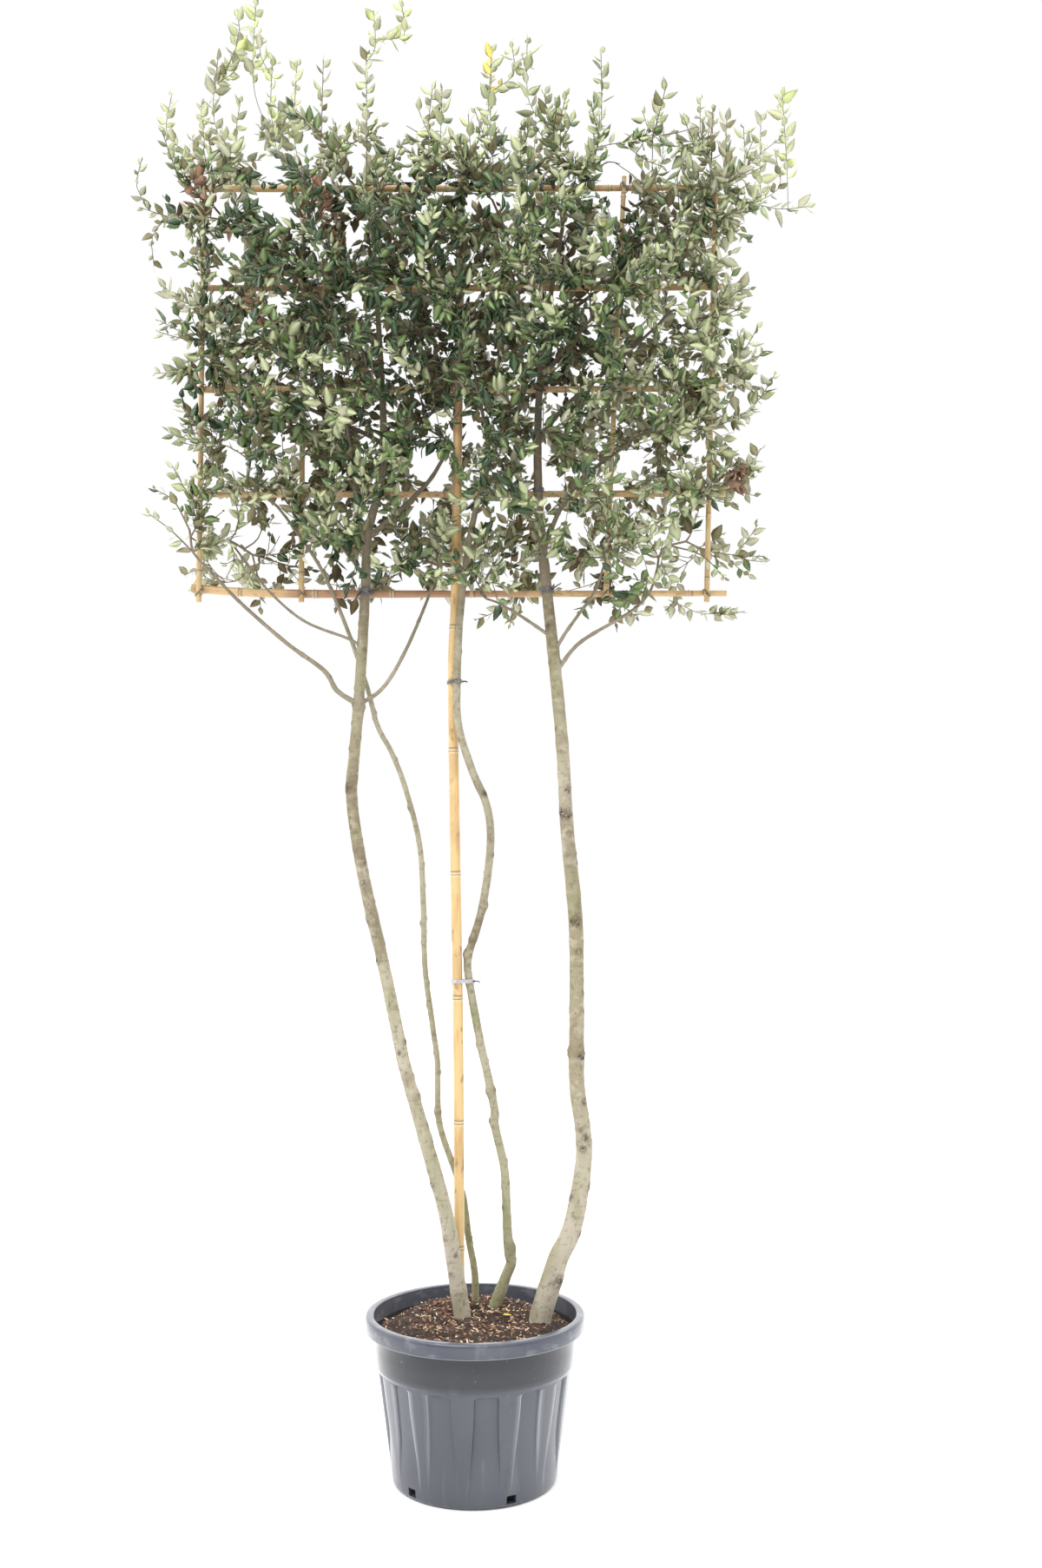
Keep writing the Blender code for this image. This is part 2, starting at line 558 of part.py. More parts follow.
def build_tie(name, first, second, z, material):
    """A band drawn round two limbs at one height, as tight as they allow."""
    heights = (z - TIE_WIDTH / 2, z, z + TIE_WIDTH / 2)
    rounds = [section_at(limb, height) for limb in (first, second) for height in heights]
    vertices = []
    for k in range(TIE_STEPS):
        turn = 2 * math.pi * k / TIE_STEPS
        out = Vector((math.cos(turn), math.sin(turn), 0))
        centre, radius = max(rounds, key=lambda item: item[0].dot(out) + item[1])
        for reach in (TIE_SLACK, TIE_SLACK + TIE_THICKNESS):
            point = centre + out * (radius + reach)
            for up in (-0.5, 0.5):
                vertices.append((point.x, point.y, z + up * TIE_WIDTH))
    faces = []
    for k in range(TIE_STEPS):
        here, there = 4 * k, 4 * ((k + 1) % TIE_STEPS)
        for a, b in ((0, 1), (1, 3), (3, 2), (2, 0)):
            faces.append((here + a, here + b, there + b, there + a))
    shade_round(make_object(name, vertices, faces, material))


class Crown:
    """Says what belongs to the crown, to each of its masses, and what the limbs keep free."""

    def __init__(self, limbs):
        self.hearts = {name: Vector((x, 0, z)) for name, (_, (x, z)) in MASSES.items()}
        self.keep_out = self.tree_of(limbs)
        self.without = {limb.name: self.tree_of([o for o in limbs if o is not limb]) for limb in limbs}

    @staticmethod
    def tree_of(limbs):
        vertices, faces = [], []
        for limb in limbs:
            more, rings = limb.swollen(LIMB_CLEARANCE)
            faces += [tuple(len(vertices) + i for i in face) for face in rings]
            vertices += more
        return BVHTree.FromPolygons(vertices, faces)

    def owns(self, mass, point):
        """True where the point is nearer to this mass's heart than to any other, with room to spare."""
        heart = self.hearts[mass]
        for name, other in self.hearts.items():
            if name == mass:
                continue
            between = other - heart
            beyond = (point - heart).dot(between) / between.length - between.length / 2
            if beyond > -CELL_CLEARANCE:
                return False
        return True

    @staticmethod
    def in_window(point):
        return any(
            ((point.x - x) / half_x) ** 2 + ((point.z - z) / half_z) ** 2 < 1
            for x, z, half_x, half_z in SKY_WINDOWS
        )

    @staticmethod
    def half_depth(x, z):
        """Half the crown's thickness, which thins towards its four edges."""
        middle_x, middle_z = sum(CROWN_X) / 2, sum(CROWN_Z) / 2
        u = abs(x - middle_x) / (CROWN_X[1] - middle_x)
        v = abs(z - middle_z) / (CROWN_Z[1] - middle_z)
        edge = min(1.0, max(u, v)) ** 4
        return CROWN_HALF_DEPTH * (1 - edge * (1 - CROWN_EDGE_DEPTH))

    @classmethod
    def within(cls, point):
        """True for a point in the block of foliage, give or take the edge's raggedness."""
        return (
            CROWN_X[0] - CROWN_FRINGE < point.x < CROWN_X[1] + CROWN_FRINGE
            and CROWN_Z[0] - CROWN_FRINGE < point.z < CROWN_Z[1] + CROWN_FRINGE
            and abs(point.y) < cls.half_depth(point.x, point.z) + CROWN_FRINGE
        )

    def touches(self, vertices, faces, carrier=None):
        tree = self.without[carrier] if carrier else self.keep_out
        return bool(tree.overlap(BVHTree.FromPolygons(vertices, faces)))


def spread_goals(crown, mass, rng):
    """Places for the twigs to reach, spread evenly through the mass's own space."""
    heart = crown.hearts[mass]
    goals = []
    for x, z in SHOOT_TIPS:
        tip = Vector((x, rng.uniform(-SHOOT_SPREAD, SHOOT_SPREAD), z))
        if crown.owns(mass, tip):
            inwards = (heart - tip).normalized()
            goals.append((tip + inwards * (LEAF_LENGTH[0] * SHOOT_LEAF_SHARE), True))
    places = []
    while len(places) < GOALS_PER_MASS:
        best, best_room = None, -1.0
        for _ in range(GOAL_TRIALS):
            x = heart.x + rng.uniform(-CELL_REACH, CELL_REACH)
            z = heart.z + rng.uniform(-CELL_REACH, CELL_REACH)
            if not (CROWN_X[0] < x < CROWN_X[1] and CROWN_Z[0] < z < CROWN_Z[1]):
                continue
            depth = crown.half_depth(x, z)
            point = Vector((x, rng.uniform(-depth, depth), z))
            if not crown.owns(mass, point) or crown.in_window(point):
                continue
            others = [g for g, _ in goals] + places
            room = min(((point - o).length for o in others), default=1.0)
            if room > best_room:
                best, best_room = point, room
        if best is None:
            break
        places.append(best)
    return goals + [(place, False) for place in places]


def twig_path(start, heading, goal, rng):
    """A twig that leaves along its heading and bends over to its goal."""
    reach = (goal - start).length
    sideways = Vector((rng.uniform(-1, 1), rng.uniform(-1, 1), rng.uniform(-1, 1)))
    bend = start.lerp(goal, 0.45) + heading * (0.16 * reach) + sideways * (TWIG_BEND * reach * 0.5)
    return smooth_path((start, bend, goal), TWIG_STEP)


def taper_between(path, start_radius, end_radius):
    return [start_radius + (end_radius - start_radius) * share for share in shares_along(path)]


def leaf_shape(root, along, up, length):
    """A blade of eight faces: a folded lens, pointed at both ends."""
    across = along.cross(up).normalized()
    up = across.cross(along).normalized()
    half_width = length * LEAF_WIDTH_SHARE / 2
    thickness = length * LEAF_THICKNESS_SHARE
    fold = length * LEAF_FOLD_SHARE
    middle = root + along * (0.46 * length)
    vertices = [
        root,
        root + along * length - up * fold,
        middle + across * half_width + up * fold,
        middle - across * half_width + up * fold,
        middle,
        middle - up * thickness,
    ]
    faces = [(0, 4, 2), (4, 1, 2), (0, 3, 4), (4, 3, 1), (0, 2, 5), (5, 2, 1), (0, 5, 3), (5, 1, 3)]
    return vertices, faces


def grow_twigs(crown, mass, carrier, rng):
    """The mass's stem and the twigs that branch from it, as (path, radii, on a shoot) rows."""
    tip, heading, tip_radius = carrier.tip()
    heart = crown.hearts[mass]
    start = tip + heading * GAP
    reach = max(0.12, (heart - start).length)
    elbow = start + heading * (0.35 * reach)
    goal = heart.lerp(elbow, 0.25)
    stem_radius = min(tip_radius, 0.0055)
    twigs = []
    for trial in range(30):
        wander = Vector((rng.uniform(-1, 1), rng.uniform(-1, 1), rng.uniform(-1, 1))) * (0.01 * trial)
        path = smooth_path((start, elbow, goal + wander), TWIG_STEP / 2)
        path[1] = start + heading * (path[1] - start).length
        radii = taper_between(path, stem_radius, TWIG_FORK_RADIUS)
        if not crown.touches(*tube(path, radii, TWIG_SIDES), carrier.name):
            twigs.append((path, radii, False))
            break
    if not twigs:
        raise ValueError(f"{mass}: no room for its stem")
    forks = forks_on(path[1:])
    goals = spread_goals(crown, mass, rng)
    goals.sort(key=lambda item: (item[0] - heart).length)
    for goal, shoot in goals:
        ranked = sorted(forks, key=lambda fork: fork_cost(fork, goal))
        for point, fork_heading in ranked[:8]:
            path = twig_path(point, fork_heading, goal, rng)
            radii = taper_between(path, TWIG_FORK_RADIUS * 0.9, TWIG_TIP_RADIUS)
            if not all(crown.owns(mass, p) for p in path[1:]):
                continue
            if crown.touches(*tube(path, radii, TWIG_SIDES)):
                continue
            twigs.append((path, radii, shoot))
            forks += forks_on(path)
            break
    return twigs


def forks_on(path):
    """The middles of a twig's lengths, each with the way that the twig heads there."""
    return [(p.lerp(q, 0.5), (q - p).normalized()) for p, q in zip(path, path[1:])]


def fork_cost(fork, goal):
    """Short ways are cheap, and ways that turn back on the twig are dear."""
    point, heading = fork
    way = goal - point
    if way.length < 0.03:
        return 10.0
    return way.length * (1.6 - 0.6 * heading.dot(way.normalized()))


def leaf_seats(twigs):
    """Where a leaf may grow: along the flats of every twig, and at each twig's end."""
    seats = []
    for own, (path, radii, shoot) in enumerate(twigs):
        rings, _ = tube(path, radii, TWIG_SIDES)
        ahead = (path[-1] - path[-2]).normalized()
        if own > 0:
            seats.append((path[-1] - ahead * END_LEAF_SINK, ahead, shoot, own, True))
        first = max(0, len(path) - 3) if own == 0 else 0
        for i in range(first, len(path) - 1):
            length = (path[i + 1] - path[i]).length
            ahead = (path[i + 1] - path[i]) / length
            count = max(1, round(length / LEAF_SPACING))
            for j in range(count):
                foot = path[i].lerp(path[i + 1], (j + 0.5) / count)
                for k in range(TWIG_SIDES):
                    corners = [rings[TWIG_SIDES * i + (k + m) % TWIG_SIDES] for m in (0, 1)]
                    side = ((corners[0] + corners[1]) / 2 - path[i]).normalized()
                    along = (math.cos(LEAF_LEAN) * ahead + math.sin(LEAF_LEAN) * side).normalized()
                    seats.append((foot - along * LEAF_SINK, along, shoot, own, False))
    return seats


def sky_spots(crown, mass, shoots, rng):
    """Spots of sky behind the mass, seen from the front (x, z) and from the side (y, z)."""
    heart = crown.hearts[mass]
    front, side = [], []
    for _ in range(SPOT_TRIALS):
        point = heart + Vector([rng.uniform(-CELL_REACH, CELL_REACH) for _ in range(3)])
        depth = crown.half_depth(point.x, point.z)
        point.y *= depth / CELL_REACH
        inside = CROWN_X[0] < point.x < CROWN_X[1] and CROWN_Z[0] < point.z < CROWN_Z[1]
        if inside and crown.owns(mass, point) and not crown.in_window(point):
            front.append((point.x, point.z))
            if len(side) * SIDE_SPOT_EVERY < len(front):
                side.append((point.y, point.z))
    for path in shoots:
        for start, end in zip(path, path[1:]):
            for _ in range(SHOOT_SPOTS):
                point = start.lerp(end, rng.random())
                front.append((point.x + rng.uniform(-0.04, 0.04), point.z + rng.uniform(-0.04, 0.04)))
    return front, side


def shaded_spots(blade, spots):
    """Which of the spots the blade hides."""
    shaded = set()
    for view, (axis, rows) in enumerate(zip((0, 1), spots)):
        ring = [(blade[0][i][axis], blade[0][i].z) for i in (0, 2, 1, 3)]
        for number, (u, v) in enumerate(rows):
            hidden = False
            for (u0, v0), (u1, v1) in zip(ring, ring[1:] + ring[:1]):
                if (v0 > v) != (v1 > v) and u < u0 + (v - v0) / (v1 - v0) * (u1 - u0):
                    hidden = not hidden
            if hidden:
                shaded.add((view, number))
    return shaded


def place_leaves(crown, mass, twigs, rng):
    """Leaves on the seats with room, those first that hide most sky; none meets another."""
    twig_trees = [BVHTree.FromPolygons(*tube(path, radii, TWIG_SIDES)) for path, radii, _ in twigs]
    spots = sky_spots(crown, mass, [path for path, _, shoot in twigs if shoot], rng)
    offers = []
    for root, along, shoot, own, at_end in leaf_seats(twigs) * ROLLS_PER_SEAT:
        facing = Vector((rng.uniform(-0.6, 0.6), rng.choice((-1, 1)), rng.uniform(-0.3, 0.8)))
        if abs(along.dot(facing.normalized())) > 0.95:
            continue
        length = rng.uniform(*LEAF_LENGTH) * (SHOOT_LEAF_SHARE if shoot else 1.0)
        for size in LEAF_SIZES:
            blade = leaf_shape(root, along, facing, length * size)
            if not all(crown.owns(mass, v) and (shoot or crown.within(v)) for v in blade[0]):
                continue
            if any(crown.in_window(v) for v in blade[0]) or crown.touches(*blade):
                continue
            tree = BVHTree.FromPolygons(*blade)
            if not any(tree.overlap(twig) for n, twig in enumerate(twig_trees) if n != own):
                bonus = SHOOT_END_BONUS if shoot and at_end else 0
                offers.append((blade, tree, shaded_spots(blade, spots), bonus))
                break
    leaves, leaf_trees, hidden = [], [], set()
    while offers and len(leaves) + len(twigs) < MAX_PIECES:
        best = max(offers, key=lambda offer: len(offer[2] - hidden) + offer[3])
        offers.remove(best)
        blade, tree, shaded, _ = best
        if not any(tree.overlap(other) for other in leaf_trees):
            leaves.append(blade)
            leaf_trees.append(tree)
            hidden |= shaded
    return leaves, len(hidden) / sum(len(rows) for rows in spots)


def largest_shell(thing):
    """Drops loose scraps and sealed hollows, which leaves one closed body."""
    form = bmesh.new()
    form.from_mesh(thing.data)
    form.verts.ensure_lookup_table()
    unseen = set(form.verts)
    shells = []
    while unseen:
        shell, edge = set(), [next(iter(unseen))]
        while edge:
            vertex = edge.pop()
            if vertex in shell:
                continue
            shell.add(vertex)
            edge += [link.other_vert(vertex) for link in vertex.link_edges]
        unseen -= shell
        shells.append(shell)
    shells.sort(key=len)
    scraps = [vertex for shell in shells[:-1] for vertex in shell]
    bmesh.ops.delete(form, geom=scraps, context="VERTS")
    form.to_mesh(thing.data)
    form.free()
    return len(shells) - 1


def build_mass(crown, mass, carrier, rng, material):
    """Grows one mass and joins its stem, twigs and leaves into one closed body."""
    twigs = grow_twigs(crown, mass, carrier, rng)
    leaves, share_hidden = place_leaves(crown, mass, twigs, rng)
    shapes = [tube(path, radii, TWIG_SIDES) for path, radii, _ in twigs]
    thing = make_object(mass, *shapes[0], material)
    parts = bpy.data.collections.new("parts")
    for number, shape in enumerate(shapes[1:] + leaves):
        part = make_object(f"part_{number}", *shape)
        bpy.context.scene.collection.objects.unlink(part)
        parts.objects.link(part)
    join = thing.modifiers.new("join", "BOOLEAN")
    join.operation = "UNION"
    join.solver = "MANIFOLD"
    join.operand_type = "COLLECTION"
    join.collection = parts
    bake_modifiers(thing)
    for part in list(parts.objects):
        bpy.data.objects.remove(part, do_unlink=True)
    bpy.data.collections.remove(parts)
    dropped = largest_shell(thing)
    print(f"{mass}: {len(twigs)} twigs, {len(leaves)} leaves, {share_hidden:.2f} of the sky hidden, "
          f"{dropped} scraps dropped")


def main():
    clear_scene()
    materials = {name: make_material(name) for name in COLOURS}
    soil_wall = build_pot(materials["pot_plastic"])
    build_soil(soil_wall, materials["bark_mix"])
    stems = {name: Limb(name, spec, STEM_STEP, True) for name, spec in STEMS.items()}
    boughs = {name: Limb(name, spec, BOUGH_STEP) for name, spec in BOUGHS.items()}
    rack = rack_limbs()
    for limb in stems.values():
        build_limb(limb, {}, materials["stem_bark"])
    for limb in boughs.values():
        build_limb(limb, stems, materials["bough_bark"])
    for limb in rack:
        build_limb(limb, {}, materials["cane"])
    for name, z in zip(("tie_low", "tie_high"), TIE_HEIGHTS):
        build_tie(name, rack[-1], stems["stem_middle"], z, materials["tie"])
    carriers = {**stems, **boughs}
    crown = Crown([*stems.values(), *boughs.values(), *rack])
    for number, (mass, (carrier, _)) in enumerate(MASSES.items()):
        rng = random.Random(SEED + number)
        build_mass(crown, mass, carriers[carrier], rng, materials["leaf"])


main()
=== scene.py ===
import json
import math
import random

import bmesh
import bpy
from mathutils import Matrix, Vector, noise
from mathutils.bvhtree import BVHTree

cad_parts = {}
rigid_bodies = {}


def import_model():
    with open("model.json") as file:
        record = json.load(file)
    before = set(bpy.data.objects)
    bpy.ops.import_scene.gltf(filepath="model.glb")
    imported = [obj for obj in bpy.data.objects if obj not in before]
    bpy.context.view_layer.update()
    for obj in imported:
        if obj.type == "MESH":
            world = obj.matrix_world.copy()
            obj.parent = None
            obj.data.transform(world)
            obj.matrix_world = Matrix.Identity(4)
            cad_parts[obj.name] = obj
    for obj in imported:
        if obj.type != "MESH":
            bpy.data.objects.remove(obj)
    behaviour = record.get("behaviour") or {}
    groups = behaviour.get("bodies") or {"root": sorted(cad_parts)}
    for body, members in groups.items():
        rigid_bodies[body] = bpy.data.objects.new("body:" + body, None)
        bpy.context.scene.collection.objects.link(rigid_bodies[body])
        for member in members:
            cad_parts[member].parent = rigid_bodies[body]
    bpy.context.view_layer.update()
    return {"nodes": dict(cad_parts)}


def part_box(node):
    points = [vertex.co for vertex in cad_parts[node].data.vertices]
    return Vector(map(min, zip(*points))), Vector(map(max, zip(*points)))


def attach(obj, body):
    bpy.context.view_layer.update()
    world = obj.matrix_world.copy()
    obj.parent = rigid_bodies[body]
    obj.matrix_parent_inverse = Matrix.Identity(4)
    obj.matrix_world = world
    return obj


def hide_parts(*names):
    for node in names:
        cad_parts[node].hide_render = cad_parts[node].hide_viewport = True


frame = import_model()
print("frame loaded:", len(frame["nodes"]), "nodes")

scene = bpy.context.scene
finished = []  # (piece, CAD nodes it stands for, material slot)


# small helpers
def addNode(tree, kind, **settings):
    made = tree.nodes.new(kind)
    for key, value in settings.items():
        setattr(made, key, value)
    return made


def feed(tree, target, name, source):
    # source is a socket or a plain value
    socket = target.inputs[name]
    if isinstance(source, bpy.types.NodeSocket):
        tree.links.new(source, socket)
    else:
        socket.default_value = source


def newGroup(name, kind, inputs, outputs):
    group = bpy.data.node_groups.new(name, kind)
    for label, socketType, value in inputs:
        socket = group.interface.new_socket(label, in_out="INPUT", socket_type=socketType)
        if value is not None:
            socket.default_value = value
    for label, socketType in outputs:
        group.interface.new_socket(label, in_out="OUTPUT", socket_type=socketType)
    return group, group.nodes.new("NodeGroupInput"), group.nodes.new("NodeGroupOutput")


def meshObject(name, vertices, faces, edges=()):
    mesh = bpy.data.meshes.new(name)
    mesh.from_pydata([tuple(v) for v in vertices], list(edges), faces)
    made = bpy.data.objects.new(name, mesh)
    scene.collection.objects.link(made)
    return made


def outwardFaces(thing):
    form = bmesh.new()
    form.from_mesh(thing.data)
    bmesh.ops.remove_doubles(form, verts=form.verts, dist=0.00001)
    bmesh.ops.recalc_face_normals(form, faces=form.faces)
    form.to_mesh(thing.data)
    form.free()


def plainMesh(thing):
    # the evaluated mesh takes the place of the mesh and its modifiers
    evaluated = thing.evaluated_get(bpy.context.evaluated_depsgraph_get())
    mesh = bpy.data.meshes.new_from_object(evaluated)
    thing.modifiers.clear()
    old = thing.data
    thing.data = mesh
    bpy.data.meshes.remove(old)
    return thing


def runTree(thing, tree, values):
    modifier = thing.modifiers.new(tree.name, "NODES")
    modifier.node_group = tree
    for item in tree.interface.items_tree:
        if item.item_type == "SOCKET" and item.in_out == "INPUT" and item.name in values:
            modifier[item.identifier] = values[item.name]
    return plainMesh(thing)


def setAttribute(mesh, name, kind, values):
    attribute = mesh.attributes.new(name, kind, "POINT")
    key = "vector" if kind == "FLOAT_VECTOR" else "value"
    flat = [c for v in values for c in v] if kind == "FLOAT_VECTOR" else list(values)
    attribute.data.foreach_set(key, flat)


def easeStep(low, high, value):
    t = min(1.0, max(0.0, (value - low) / (high - low)))
    return t * t * (3 - 2 * t)


def keep(piece, nodes, slot):
    finished.append((piece, nodes, slot))
    return piece


# materials
def mottleGroup():
    # two-scale noise mask over Object coordinates, stretched along Z
    group, given, out = newGroup(
        "mottle", "ShaderNodeTree",
        [("Scale", "NodeSocketFloat", 20.0), ("Stretch", "NodeSocketFloat", 1.0),
         ("Detail", "NodeSocketFloat", 6.0), ("Low", "NodeSocketFloat", 0.4),
         ("High", "NodeSocketFloat", 0.6)],
        [("Mask", "NodeSocketFloat"), ("Raw", "NodeSocketFloat")],
    )
    place = addNode(group, "ShaderNodeTexCoord")
    squeeze = addNode(group, "ShaderNodeCombineXYZ")
    squeeze.inputs["X"].default_value = 1.0
    squeeze.inputs["Y"].default_value = 1.0
    feed(group, squeeze, "Z", given.outputs["Stretch"])
    scaled = addNode(group, "ShaderNodeVectorMath", operation="MULTIPLY")
    group.links.new(place.outputs["Object"], scaled.inputs[0])
    group.links.new(squeeze.outputs[0], scaled.inputs[1])
    cloud = addNode(group, "ShaderNodeTexNoise")
    group.links.new(scaled.outputs[0], cloud.inputs["Vector"])
    feed(group, cloud, "Scale", given.outputs["Scale"])
    feed(group, cloud, "Detail", given.outputs["Detail"])
    ramp = addNode(group, "ShaderNodeMapRange", interpolation_type="SMOOTHSTEP")
    group.links.new(cloud.outputs["Fac"], ramp.inputs["Value"])
    feed(group, ramp, "From Min", given.outputs["Low"])
    feed(group, ramp, "From Max", given.outputs["High"])
    group.links.new(ramp.outputs["Result"], out.inputs["Mask"])
    group.links.new(cloud.outputs["Fac"], out.inputs["Raw"])
    return group


def spotsGroup():
    # small round spots over Object coordinates
    group, given, out = newGroup(
        "spots", "ShaderNodeTree",
        [("Scale", "NodeSocketFloat", 60.0), ("Size", "NodeSocketFloat", 0.2)],
        [("Mask", "NodeSocketFloat")],
    )
    place = addNode(group, "ShaderNodeTexCoord")
    cells = addNode(group, "ShaderNodeTexVoronoi")
    group.links.new(place.outputs["Object"], cells.inputs["Vector"])
    feed(group, cells, "Scale", given.outputs["Scale"])
    edge = addNode(group, "ShaderNodeMapRange", interpolation_type="SMOOTHSTEP")
    group.links.new(cells.outputs["Distance"], edge.inputs["Value"])
    feed(group, edge, "From Min", given.outputs["Size"])
    edge.inputs["From Max"].default_value = 0.0
    group.links.new(edge.outputs["Result"], out.inputs["Mask"])
    return group


mottle = mottleGroup()
spots = spotsGroup()


class Finish:
    # a Principled material whose colour is layered up mask by mask
    def __init__(self, name, colour, roughness, **plain):
        self.material = bpy.data.materials.new(name)
        self.material.use_nodes = True
        self.tree = self.material.node_tree
        self.shader = self.tree.nodes["Principled BSDF"]
        self.shader.inputs["Roughness"].default_value = roughness
        for key, value in plain.items():
            self.shader.inputs[key.replace("_", " ")].default_value = value
        self.shader.inputs["Base Color"].default_value = (*colour, 1)
        self.colour = (*colour, 1)

    def mask(self, group, output="Mask", **values):
        made = addNode(self.tree, "ShaderNodeGroup", node_tree=group)
        for key, value in values.items():
            made.inputs[key].default_value = value
        return made.outputs[output]

    def both(self, first, second):
        made = addNode(self.tree, "ShaderNodeMath", operation="MULTIPLY")
        self.tree.links.new(first, made.inputs[0])
        self.tree.links.new(second, made.inputs[1])
        return made.outputs[0]

    def attribute(self, name):
        return addNode(self.tree, "ShaderNodeAttribute", attribute_name=name).outputs["Fac"]

    def layer(self, mask, colour, strength=1.0):
        if strength < 1:
            faded = addNode(self.tree, "ShaderNodeMath", operation="MULTIPLY")
            self.tree.links.new(mask, faded.inputs[0])
            faded.inputs[1].default_value = strength
            mask = faded.outputs[0]
        mix = addNode(self.tree, "ShaderNodeMix", data_type="RGBA")
        self.tree.links.new(mask, mix.inputs[0])
        if isinstance(self.colour, bpy.types.NodeSocket):
            self.tree.links.new(self.colour, mix.inputs[6])
        else:
            mix.inputs[6].default_value = self.colour
        mix.inputs[7].default_value = (*colour, 1)
        self.colour = mix.outputs[2]
        self.tree.links.new(self.colour, self.shader.inputs["Base Color"])
        return self

    def roughBy(self, mask, low, high):
        ramp = addNode(self.tree, "ShaderNodeMapRange")
        self.tree.links.new(mask, ramp.inputs["Value"])
        ramp.inputs["To Min"].default_value = low
        ramp.inputs["To Max"].default_value = high
        self.tree.links.new(ramp.outputs["Result"], self.shader.inputs["Roughness"])
        return self

    def bump(self, mask, strength, distance):
        made = addNode(self.tree, "ShaderNodeBump")
        made.inputs["Strength"].default_value = strength
        made.inputs["Distance"].default_value = distance
        self.tree.links.new(mask, made.inputs["Height"])
        self.tree.links.new(made.outputs["Normal"], self.shader.inputs["Normal"])
        return self


def zoneGroup(name, axis):
    # 1 below Low, 0 above High along one axis of the object, or the other way round if Low is above High
    group, given, out = newGroup(
        name, "ShaderNodeTree",
        [("Low", "NodeSocketFloat", 0.8), ("High", "NodeSocketFloat", 1.6)],
        [("Mask", "NodeSocketFloat")],
    )
    place = addNode(group, "ShaderNodeTexCoord")
    split = addNode(group, "ShaderNodeSeparateXYZ")
    group.links.new(place.outputs["Object"], split.inputs[0])
    fall = addNode(group, "ShaderNodeMapRange", interpolation_type="SMOOTHSTEP")
    group.links.new(split.outputs[axis], fall.inputs["Value"])
    feed(group, fall, "From Min", given.outputs["High"])
    feed(group, fall, "From Max", given.outputs["Low"])
    group.links.new(fall.outputs["Result"], out.inputs["Mask"])
    return group


zone = zoneGroup("height zone", "Z")
across = zoneGroup("width zone", "X")


def barkFinish(name, base, foot, pale, moss, dark, mossiness, footTop=1.25, mossTop=9.0):
    finish = Finish(name, base, 0.75)
    finish.layer(finish.mask(zone, Low=footTop - 0.6, High=footTop), foot, 0.85)
    finish.layer(finish.mask(mottle, Scale=6.0, Stretch=0.5, Low=0.42, High=0.66), pale, 0.60)
    finish.layer(finish.mask(mottle, Scale=26.0, Stretch=1.8, Low=0.50, High=0.62), pale, 0.42)
    weathered = finish.both(finish.mask(mottle, Scale=20.0, Stretch=0.7, Low=0.44, High=0.58),
                            finish.mask(zone, Low=1.9, High=1.4))
    finish.layer(weathered, (0.180, 0.148, 0.092), 0.50)
    # painted shade: the bark darker with height inside the crown, very dark brown above about 3 m
    finish.layer(finish.mask(zone, Low=2.56, High=2.30), (0.165, 0.132, 0.088), 0.70)
    finish.layer(finish.mask(zone, Low=3.05, High=2.60), (0.075, 0.055, 0.040), 0.70)
    mossy = finish.both(finish.mask(mottle, Scale=13.0, Stretch=0.35, Low=0.48, High=0.66),
                        finish.mask(zone, Low=mossTop, High=mossTop + 0.5))
    finish.layer(mossy, moss, mossiness)
    finish.layer(finish.mask(mottle, Scale=8.0, Stretch=0.7, Low=0.57, High=0.66), (0.165, 0.120, 0.066), 0.40)
    finish.layer(finish.mask(mottle, Scale=34.0, Stretch=2.6, Low=0.56, High=0.66), dark, 0.28)
    finish.layer(finish.mask(mottle, Scale=90.0, Stretch=0.8, Low=0.56, High=0.66), dark, 0.42)
    finish.layer(finish.mask(spots, Scale=120.0, Size=0.22), pale, 0.6)
    finish.layer(finish.mask(spots, Scale=62.0, Size=0.11), dark, 0.8)
    stained = finish.both(finish.attribute("stain"), finish.mask(mottle, Scale=55.0, Low=0.36, High=0.56))
    finish.layer(stained, (0.110, 0.072, 0.038), 0.75)
    torn = finish.both(finish.attribute("scar"), finish.mask(mottle, Scale=110.0, Low=0.34, High=0.48))
    finish.layer(torn, (0.040, 0.024, 0.015))
    finish.bump(finish.mask(mottle, "Raw", Scale=130.0, Stretch=2.6, Detail=8.0), 0.8, 0.0016)
    return finish.material


materials = {
    "greyBark": barkFinish("greyBark", (0.270, 0.242, 0.148), (0.455, 0.408, 0.325), (0.470, 0.428, 0.335),
                           (0.235, 0.235, 0.110), (0.120, 0.090, 0.058), 0.50),
    "greenBark": barkFinish("greenBark", (0.305, 0.280, 0.190), (0.300, 0.290, 0.165), (0.400, 0.375, 0.270),
                            (0.175, 0.190, 0.070), (0.110, 0.085, 0.050), 0.60, mossTop=1.2),
    "twigBark": barkFinish("twigBark", (0.175, 0.140, 0.090), (0.360, 0.330, 0.260), (0.300, 0.255, 0.180),
                           (0.130, 0.125, 0.065), (0.070, 0.052, 0.035), 0.4, footTop=2.66),
}

